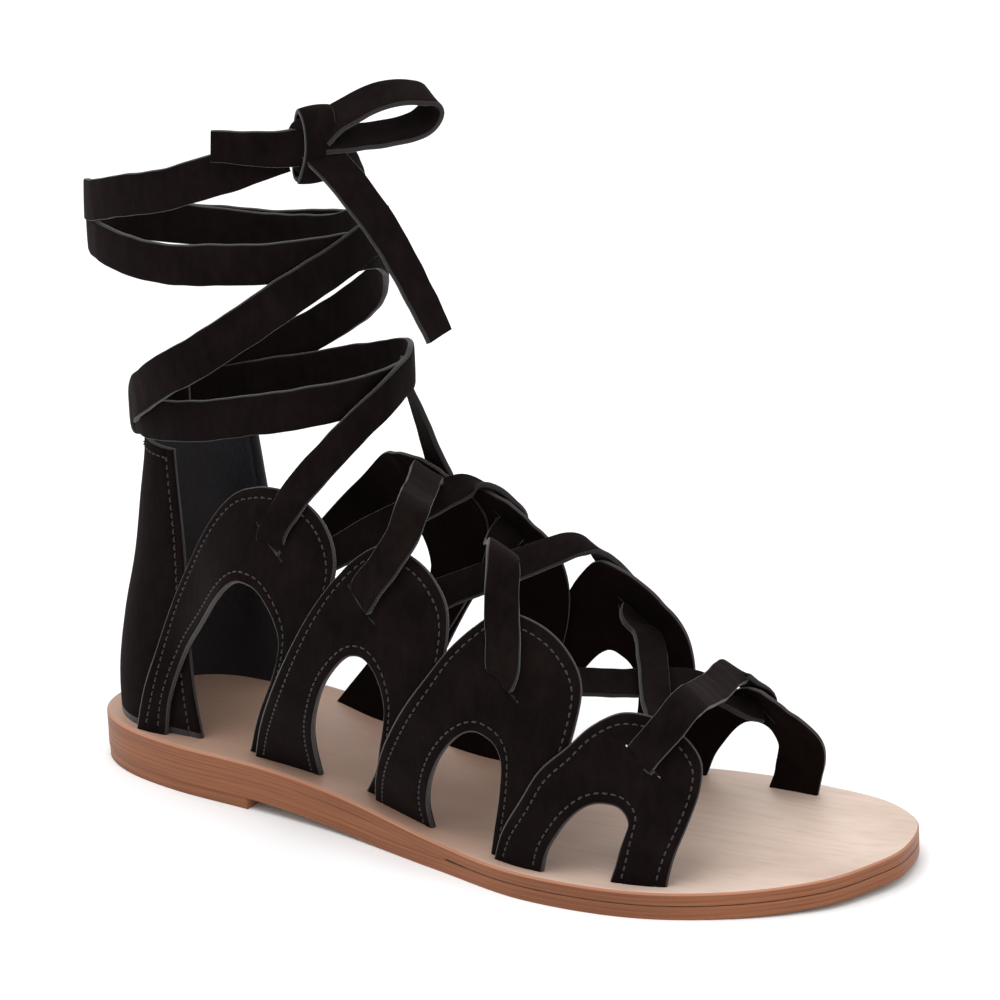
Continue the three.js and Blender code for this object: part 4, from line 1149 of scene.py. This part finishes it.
def arch_columns(width, inset):
    """For each section, shares across the leather from its outer edge to the opening, and the drop
    of the face there: rounded edges, a welt of leather outside each seam, and a furrow under it."""
    rim = np.array([0.0, 0.18, 0.5, 1.1, inset - 0.75, inset - 0.3, inset, inset + 0.3, inset + 0.75])
    drop = np.array([0.50, 0.20, 0.04, -0.03, -0.02, 0.10, 0.24, 0.10, 0.0])
    most = rim[-1] + 0.4
    scale = np.minimum(1, width / (2 * most))[:, None]
    near = rim[None] * scale / width[:, None]
    middle = mix(near[:, -1:], 1 - near[:, -1:], np.linspace(0, 1, 14)[None, 1:-1])
    share = np.concatenate([near, middle, 1 - near[:, ::-1]], 1)
    fall = np.concatenate([drop, np.zeros(12), drop[::-1]])
    return share, fall


def arch_shape(name, side, thickness, inset):
    """One arch as a wall of suede. The grid runs from foot to foot and from edge to edge."""
    sections, share = arch_line(name, side)
    width = arch_width(sections, side)
    across, fall = arch_columns(width, inset)
    along = mix(sections[:, :1], sections[:, 2:3], across)
    height = mix(sections[:, 1:2], sections[:, 3:4], across)
    base = arch_lift(name, share)[:, None]
    relief = pulled(name, side, along, height)
    face = base + thickness - fall[None] + relief
    back = base + np.minimum(fall, 0.5)[None] * (fall[None] > 0.3) + relief
    middle = last((sections[:, 0] + sections[:, 2]) / 2, (sections[:, 1] + sections[:, 3]) / 2, side)
    u = np.repeat(lengths(middle)[:, None], across.shape[1], 1)
    outer, inner = (last(along, height, side, out) for out in (face, back))
    return slab(outer, inner, u, across * width[:, None])


def slot_block(name, side):
    """Cutter for a lace slot: a flat block with round ends through the wall, along the slot."""
    x, h = SLOTS[name][side]
    half_long, half_tall = SLOT_HALF
    around = np.linspace(0, 2 * np.pi, 28, endpoint=False)
    px = np.sign(np.cos(around)) * (half_long - half_tall) + half_tall * np.cos(around)
    pz = half_tall * np.sin(around)
    height = h - 0.001 - SLOT_SLANT * px + pz / SLOT_RISE
    points = np.concatenate([last(x + px, height, side, out) for out in SLOT_DEPTH])
    cols = len(around)
    ends = [list(range(cols))[::-1], list(range(cols, 2 * cols))]
    mesh = bpy.data.meshes.new("slot")
    mesh.from_pydata(metres(points).tolist(), [], grid_faces(2, cols, wrap_cols=True).tolist() + ends)
    shell = bmesh.new()
    shell.from_mesh(mesh)
    bmesh.ops.recalc_face_normals(shell, faces=shell.faces)
    shell.to_mesh(mesh)
    shell.free()
    return mesh


def cut_slot(piece, name, side):
    """Cuts the lace slot through an arch and gives the walls of the cut the finish of a cut edge."""
    mesh = slot_block(name, side)
    for material in piece.data.materials:
        mesh.materials.append(material)
    mesh.polygons.foreach_set("material_index", np.full(len(mesh.polygons), CUT, np.int32))
    cutter = bpy.data.objects.new("slot", mesh)
    bpy.context.scene.collection.objects.link(cutter)
    change = piece.modifiers.new("slot", "BOOLEAN")
    change.operation = "DIFFERENCE"
    change.solver = "EXACT"
    change.object = cutter
    graph = bpy.context.evaluated_depsgraph_get()
    whole, slotted = piece.data, bpy.data.meshes.new_from_object(piece.evaluated_get(graph))
    if len(slotted.polygons) == len(whole.polygons):
        raise RuntimeError(f"the slot of {name} didn't cut")
    piece.modifiers.clear()
    piece.data = slotted
    bpy.data.meshes.remove(whole)
    bpy.data.objects.remove(cutter)
    bpy.data.meshes.remove(mesh)
    slotted.name = piece.name
    slotted.shade_smooth()


def stitches(line, normals, pitch, thick, fill=0.8):
    """Row of stitches on a line: each is a short rounded bead, bowed up in its middle, that goes
    down into the leather at both ends. All are worked out together, as one grid for each."""
    along = lengths(line)
    count = int(along[-1] // pitch)
    starts = (np.arange(count) + 0.14) * along[-1] / count
    steps = np.linspace(0, 1, 7)
    at = starts[:, None] + steps[None] * (along[-1] / count * fill)
    spots = np.stack([np.interp(at, along, line[:, k]) for k in range(3)], -1)
    looks = unit(np.stack([np.interp(at, along, normals[:, k]) for k in range(3)], -1))
    ahead = unit(spots[:, -1:] - spots[:, :1]) + 0 * spots
    across = unit(np.cross(ahead, looks))
    spots = spots + looks * (thick * (np.sin(np.pi * steps) - 0.55))[None, :, None]
    girth = np.linspace(0, 2 * np.pi, 6, endpoint=False)
    size = (thick / 2 * np.sqrt(np.clip(1 - (2 * steps - 1) ** 4, 0, 1)))[:, None]
    points = (spots[:, :, None] + across[:, :, None] * (size * np.cos(girth))[None, :, :, None]
              + looks[:, :, None] * (size * np.sin(girth))[None, :, :, None])
    one = grid_faces(len(steps), len(girth), wrap_cols=True)
    faces = (one[None] + np.arange(count)[:, None, None] * len(steps) * len(girth)).reshape(-1, 4)
    return points.reshape(-1, 3), faces, np.zeros((len(faces), 4, 2)), np.full(len(faces), FACE)


def sewn(sizes, line, normals):
    """Row of stitches on a line, by the sizes of the thread and its pitch."""
    return stitches(line, normals, sizes.stitch_pitch / MM, sizes.thread / MM)


def arch_seams(name, side, sizes):
    """The two rows of stitches of an arch, inside its outer edge and round its opening. They leave
    out the few sections at either end that are in the insole."""
    thickness, inset = sizes.suede / MM, sizes.stitch_inset / MM
    sections, share = (values[4:-4] for values in arch_line(name, side))
    width = arch_width(sections, side)
    inset_share = inset * np.minimum(1, width / (2 * (inset + SEAM_MARGIN))) / width
    rows = []
    for across in (inset_share, 1 - inset_share):
        along = mix(sections[:, 0], sections[:, 2], across)
        height = mix(sections[:, 1], sections[:, 3], across)
        out = arch_lift(name, share) + thickness - SEAM_DEPTH + pulled(name, side, along, height)
        normals = last_frame(along, height, side + 0 * along)[2]
        rows.append(sewn(sizes, last(along, height, side, out), normals))
    return joined(rows)


class SANDAL_OT_arches(bpy.types.Operator):
    """Make the four suede arches of each side, with their slots and seams"""

    bl_idname = "sandal.arches"
    bl_label = "Arches"

    def execute(self, context):
        sizes = context.scene.sandal_sizes
        finishes = finishes_named("suede", "cut edge", "flesh side")
        for side, word in ((LATERAL, "lateral"), (MEDIAL, "medial")):
            for name in ARCHES:
                shape = arch_shape(name, side, sizes.suede / MM, sizes.stitch_inset / MM)
                piece = add_piece(f"{word}_{name}_arch", *shape, finishes, [f"{word}_arches"])
                cut_slot(piece, name, side)
            seams = joined([arch_seams(name, side, sizes) for name in ARCHES])
            add_piece(f"{word}_arch_seams", *seams, finishes_named("thread"))
        return {"FINISHED"}


def counter_point(around, height, out):
    """Point on the heel counter: round it from -1, its lateral front edge, to 1, its medial one."""
    around, height = np.broadcast_arrays(np.asarray(around, float), np.asarray(height, float))
    back = column(HEEL, "centre", height) - np.pi / 2 * column(HEEL, "radius", height)
    front = column(COUNTER_FRONT, "along", height)
    side = np.where(around < 0, LATERAL, MEDIAL)
    return last(mix(back, front, abs(around)), height, side, out)


def height_share(z):
    """Share of height on the counter for a height in millimetres."""
    return (z - HEEL_TOP) / (COUNTER_RIDGE - HEEL_TOP)


def counter_shape():
    """The counter's wall: a grid round the heel and up it, with rounded free edges, a furrow under
    each front seam, and slow waves where the suede stands slack."""
    rim = np.array([1, 0.996, 0.988, 0.965, 0.93, 0.92, 0.91])
    around = np.concatenate([-rim, np.linspace(-0.87, 0.87, 70), rim[::-1]])[:, None]
    low, high = HEEL_TOP - FOOT_DEPTH, TUNNEL["low"] - 0.4
    z = np.concatenate([np.linspace(low, high - 1.2, 44), high - np.array([0.7, 0.3, 0.1, 0.0])])[None]
    from_front = (1 - abs(around)) * COUNTER_RUN
    furrow = 0.22 * np.exp(-((from_front - 3.3) / 0.32) ** 2)
    fall = (0.5 * np.clip(1 - from_front / 0.5, 0, 1) ** 1.5 + furrow
            + 0.5 * np.clip(1 - (high - z) / 0.6, 0, 1) ** 1.5)
    height = height_share(z + 0 * around)
    up = z - low
    slack = 0.35 * np.sin(2.9 * around + 0.9) * np.sin(up / 19) + 0.22 * np.sin(7.1 * around + up / 13)
    slack = slack * smooth(up / 20) * smooth((high - z) / 14)
    outer = counter_point(around, height, COUNTER - fall + slack)
    inner = counter_point(around, height, np.clip(fall, 0, 0.5) * 0.8 + slack)
    u = np.repeat(around * COUNTER_RUN, z.shape[1], 1)
    return slab(outer, inner, u, np.repeat(z, len(around), 0))


def tunnel_shape():
    """The loop at the counter's top: a tube with a thin wall and an oval section, carried round the
    heel. Its grid goes along the outside and back along the inside, so that it closes on itself."""
    low, high, wall, reach = (TUNNEL[fact] for fact in ("low", "high", "wall", "reach"))
    steps = 34
    forth = np.linspace(-reach, reach, steps)
    around = np.concatenate([forth, forth[::-1]])[:, None]
    grow = np.concatenate([np.full(steps, wall), np.zeros(steps)])[:, None]
    grow[[0, steps - 1]] = wall * 0.75
    grow[[steps, -1]] = wall * 0.25
    angle = np.linspace(0, 2 * np.pi, 40, endpoint=False)[None]
    round_c, round_s = (np.sign(wave) * abs(wave) ** 0.62 for wave in (np.cos(angle), np.sin(angle)))
    out = (TUNNEL["depth"] + COUNTER) / 2 + ((TUNNEL["depth"] - COUNTER) / 2 + grow) * round_c
    z = (low + high) / 2 + ((high - low) / 2 + grow) * round_s
    points = counter_point(around + 0 * z, height_share(z), out)
    rows, cols = points.shape[:2]
    u = np.repeat((np.append(around, around[0]) * COUNTER_RUN)[:, None], cols + 1, 1)
    v = np.repeat(np.linspace(0, 40, cols + 1)[None], rows + 1, 0)
    # The loop's cut ends take the cut edge's colour, partly a painted rim highlight.
    parts = np.full((rows, cols), FACE)
    parts[[0, steps - 2, steps - 1, steps, -2, -1]] = CUT
    return points.reshape(-1, 3), grid_faces(rows, cols, True, True), corner_places(u, v), parts.ravel()


class SANDAL_OT_counter(bpy.types.Operator):
    """Make the heel counter with its tie loop and seams"""

    bl_idname = "sandal.counter"
    bl_label = "Heel counter"

    def execute(self, context):
        sizes = context.scene.sandal_sizes
        finishes = finishes_named("suede", "cut edge", "lining leather")
        add_piece("heel_counter_suede", *counter_shape(), finishes, ["heel_counter"])
        add_piece("heel_counter_tie_loop", *tunnel_shape(), finishes)
        seams = []
        height = height_share(np.linspace(HEEL_TOP + 1.5, TUNNEL["low"] - 2.5, 120))
        for around in (-COUNTER_SEAM, COUNTER_SEAM):
            out = counter_point(around, height, COUNTER + 1) - counter_point(around, height, COUNTER)
            seams.append(sewn(sizes, counter_point(around, height, COUNTER - 0.1), unit(out)))
        around = np.linspace(-0.93, 0.93, 160)
        height = height_share(TUNNEL["low"] - SEAM_UNDER_LOOP)
        line = counter_point(around, height, COUNTER + 0.02)
        seams.append(sewn(sizes, line, unit(counter_point(around, height, COUNTER + 1) - line)))
        add_piece("heel_counter_seams", *joined(seams), finishes_named("thread"))
        return {"FINISHED"}


# ================================================================ lace
def lace_stop(row):
    """Point and direction of the band's face at one row of a stretch. The face is turned from the
    way out of the last, by the tilt, towards the way across the slots, which slant."""
    along, height, side, out, tilt, sign = row
    forward, upward, normal = last_frame(along, height, side)
    slant, tilt = math.radians(SLOT_TURN), math.radians(tilt)
    over = math.cos(slant) * upward + math.sin(slant) * forward
    return last(along, height, side, out), sign * (math.cos(tilt) * normal + math.sin(tilt) * over)


def lean_over(stops, sides):
    """The stops, with one more half-way over the throat, where the band leans with the slope of
    the instep. Its face is on the same side of the band as its neighbours'."""
    turn = next(i for i, side in enumerate(sides) if side != sides[0])
    before, after = stops[turn - 1], stops[turn]
    lean = math.radians(THROAT_LEAN)
    face = np.array([math.sin(lean), 0, math.cos(lean)])
    face = face * np.sign(face @ (before[1] + after[1]))
    return [*stops[:turn], ((before[0] + after[0]) / 2, face), *stops[turn:]]


class SANDAL_OT_lace(bpy.types.Operator):
    """Run the flat lace through the slots and over the throat"""

    bl_idname = "sandal.lace"
    bl_label = "Lace"

    def execute(self, context):
        sizes = context.scene.sandal_sizes
        finishes = finishes_named("lace suede", "lace edge")
        width = GATHERED * sizes.lace_width / MM
        for number, (name, (node, rows)) in enumerate(STRETCHES.items()):
            stops = lean_over([lace_stop(row) for row in rows], [row[2] for row in rows])
            shape = ribbon(*smooth_path(*zip(*stops)), width, sizes.lace / MM, phase=1.3 * number, cup=0.3)
            add_piece(f"{name}_band", *shape, finishes, [node])
        return {"FINISHED"}


def last_stop(along, height, out, side):
    """Point off the last, and the ways up it and out from it."""
    return last(along, height, side, out), *last_frame(along, height, side)[1:]


def tie_path(side):
    """Route of one ankle tie: out of its slot, up a cubic Bezier curve to the front of the ankle,
    and round the ring by its rows, with the directions of its face."""
    facts = RISERS[side]
    rows = np.array(facts["rows"], float)
    rows[:, 0] = np.degrees(np.unwrap(np.radians(rows[:, 0])))
    slot, slot_up = last_stop(*facts["slot"], side)[:2]
    foot, up, normal = last_stop(*facts["foot"], side)
    turned = cubic(np.arange(len(rows)), rows, np.linspace(0, len(rows) - 1, 12 * len(rows)))
    angle, height, out = turned.T
    wound = ring(angle, height, out + 1.0)
    wound_out = unit(ring(angle, height, 2.0) - ring(angle, height, 1.0))
    rise = np.linalg.norm(wound[0] - foot) * 0.34
    leave = unit(0.5 * up + 0.5 * unit(wound[0] - foot))
    arrive = unit(wound[6] - wound[0])
    controls = [foot, foot + leave * rise, wound[0] - arrive * rise, wound[0]]
    t = np.linspace(0, 1, 60)[:-1, None]
    weights = [(1 - t) ** 3, 3 * t * (1 - t) ** 2, 3 * t * t * (1 - t), t ** 3]
    riser = sum(weight * control for weight, control in zip(weights, controls))
    riser_out = unit(mix(normal, wound_out[0], t))
    lead, lead_out = smooth_path([slot, mix(slot, foot, 0.45) + normal, foot],
                                 [-slot_up, normal - 0.4 * up, normal])
    return np.concatenate([lead[:-1], riser, wound]), np.concatenate([lead_out[:-1], riser_out, wound_out])


class SANDAL_OT_ankle_ties(bpy.types.Operator):
    """Wind the two ends of the lace round the ankle"""

    bl_idname = "sandal.ankle_ties"
    bl_label = "Ankle ties"

    def execute(self, context):
        sizes = context.scene.sandal_sizes
        finishes = finishes_named("lace suede", "lace edge")
        start, run = TIE_WIDENS
        for side, word in ((LATERAL, "lateral"), (MEDIAL, "medial")):
            path, faces = tie_path(side)
            total = lengths(path)[-1]
            shape = ribbon(path, faces, sizes.lace_width / MM, sizes.lace / MM, phase=2.2 * side,
                           taper=lambda share: mix(*TIE_WIDTHS, smooth((share * total - start) / run)))
            add_piece(f"ankle_tie_{word}_band", *shape, finishes, ["ankle_ties"])
        return {"FINISHED"}


# ================================================================ stage
def sky_way(azimuth, elevation):
    """Unit vector to a place seen at an azimuth, from the lateral side towards the toe, and an
    elevation, both in degrees."""
    a, e = math.radians(azimuth), math.radians(elevation)
    return Vector((math.sin(a) * math.cos(e), -math.cos(a) * math.cos(e), math.sin(e)))


def add_camera():
    """Camera at its distance from the aim, turned off it by two small angles and rolled."""
    back = sky_way(CAMERA_AZIMUTH, CAMERA_ELEVATION)
    a, roll = math.radians(CAMERA_AZIMUTH), math.radians(CAMERA_ROLL)
    right = Vector((math.cos(a), math.sin(a), 0))
    up = back.cross(right)
    turn_x = right * math.cos(roll) + up * math.sin(roll)
    turn_y = up * math.cos(roll) - right * math.sin(roll)
    axes = Matrix((turn_x, turn_y, back)).transposed()
    left, rise = (math.radians(v) for v in CAMERA_TURN)
    turned = axes @ Matrix.Rotation(left, 3, "Y") @ Matrix.Rotation(rise, 3, "X")
    place = (Vector(CAMERA_AIM) + back * CAMERA_DISTANCE) * MM
    camera = bpy.data.cameras.new("camera")
    camera.lens = CAMERA_LENS
    camera.sensor_width = 36
    camera.clip_start, camera.clip_end = 0.05, 50
    holder = bpy.data.objects.new("camera", camera)
    holder.matrix_world = Matrix.Translation(place) @ turned.to_4x4()
    bpy.context.scene.collection.objects.link(holder)
    bpy.context.scene.camera = holder


def add_light(name, azimuth, elevation, distance, size, power):
    """Square soft light that looks at the middle of the sandal."""
    way = sky_way(azimuth, elevation)
    light = bpy.data.lights.new(name, "AREA")
    light.shape = "SQUARE"
    light.size = size
    light.energy = power
    holder = bpy.data.objects.new(name, light)
    holder.location = Vector(LIGHT_AIM) + way * distance
    holder.rotation_mode = "QUATERNION"
    holder.rotation_quaternion = (-way).to_track_quat("-Z", "Y")
    bpy.context.scene.collection.objects.link(holder)


class SANDAL_OT_stage(bpy.types.Operator):
    """Make the floor, the soft light and the camera"""

    bl_idname = "sandal.stage"
    bl_label = "Stage"

    def execute(self, context):
        mesh = bpy.data.meshes.new("floor")
        corners = [(x * FLOOR_REACH, y * FLOOR_REACH, 0) for x, y in ((-1, -1), (1, -1), (1, 1), (-1, 1))]
        mesh.from_pydata(corners, [], [(0, 1, 2, 3)])
        floor = bpy.data.objects.new("floor", mesh)
        context.scene.collection.objects.link(floor)
        finish, tree, shader = blank_finish("floor")
        pale = (*context.scene.sandal_colours.floor, 1)
        connect(tree, shader, {"Base Color": pale, "Roughness": 0.95, "Specular IOR Level": 0.1})
        mesh.materials.append(finish)
        world = bpy.data.worlds.new("sky")
        world.use_nodes = True
        background = world.node_tree.nodes["Background"]
        connect(world.node_tree, background, {"Color": (1, 1, 1, 1), "Strength": SKY})
        context.scene.world = world
        for name, facts in LIGHTS.items():
            add_light(name, *facts)
        context.scene.view_settings.view_transform = "Standard"
        add_camera()
        return {"FINISHED"}


# ================================================================ add-on
STEPS = [
    SANDAL_OT_stage, SANDAL_OT_bow, SANDAL_OT_ankle_ties, SANDAL_OT_lace, SANDAL_OT_sole,
    SANDAL_OT_insole, SANDAL_OT_counter, SANDAL_OT_arches,
]


class SANDAL_PT_panel(bpy.types.Panel):
    """Panel with the sizes, the colours and one button for each piece"""

    bl_idname = "SANDAL_PT_panel"
    bl_label = "Gladiator sandal"
    bl_space_type = "VIEW_3D"
    bl_region_type = "UI"
    bl_category = "Sandal"

    def draw(self, context):
        for group in (context.scene.sandal_sizes, context.scene.sandal_colours):
            for name in group.__annotations__:
                self.layout.prop(group, name)
        for step in STEPS:
            self.layout.operator(step.bl_idname)


CLASSES = [SandalSizes, SandalColours, *STEPS, SANDAL_PT_panel]


def register():
    """Adds the classes and the settings."""
    for one in CLASSES:
        bpy.utils.register_class(one)
    bpy.types.Scene.sandal_sizes = bpy.props.PointerProperty(type=SandalSizes)
    bpy.types.Scene.sandal_colours = bpy.props.PointerProperty(type=SandalColours)


def unregister():
    """Takes the settings and the classes away again."""
    del bpy.types.Scene.sandal_colours
    del bpy.types.Scene.sandal_sizes
    for one in reversed(CLASSES):
        bpy.utils.unregister_class(one)


def main():
    register()
    for step in STEPS:
        group, name = step.bl_idname.split(".")
        getattr(getattr(bpy.ops, group), name)()


if __name__ == "__main__":
    main()
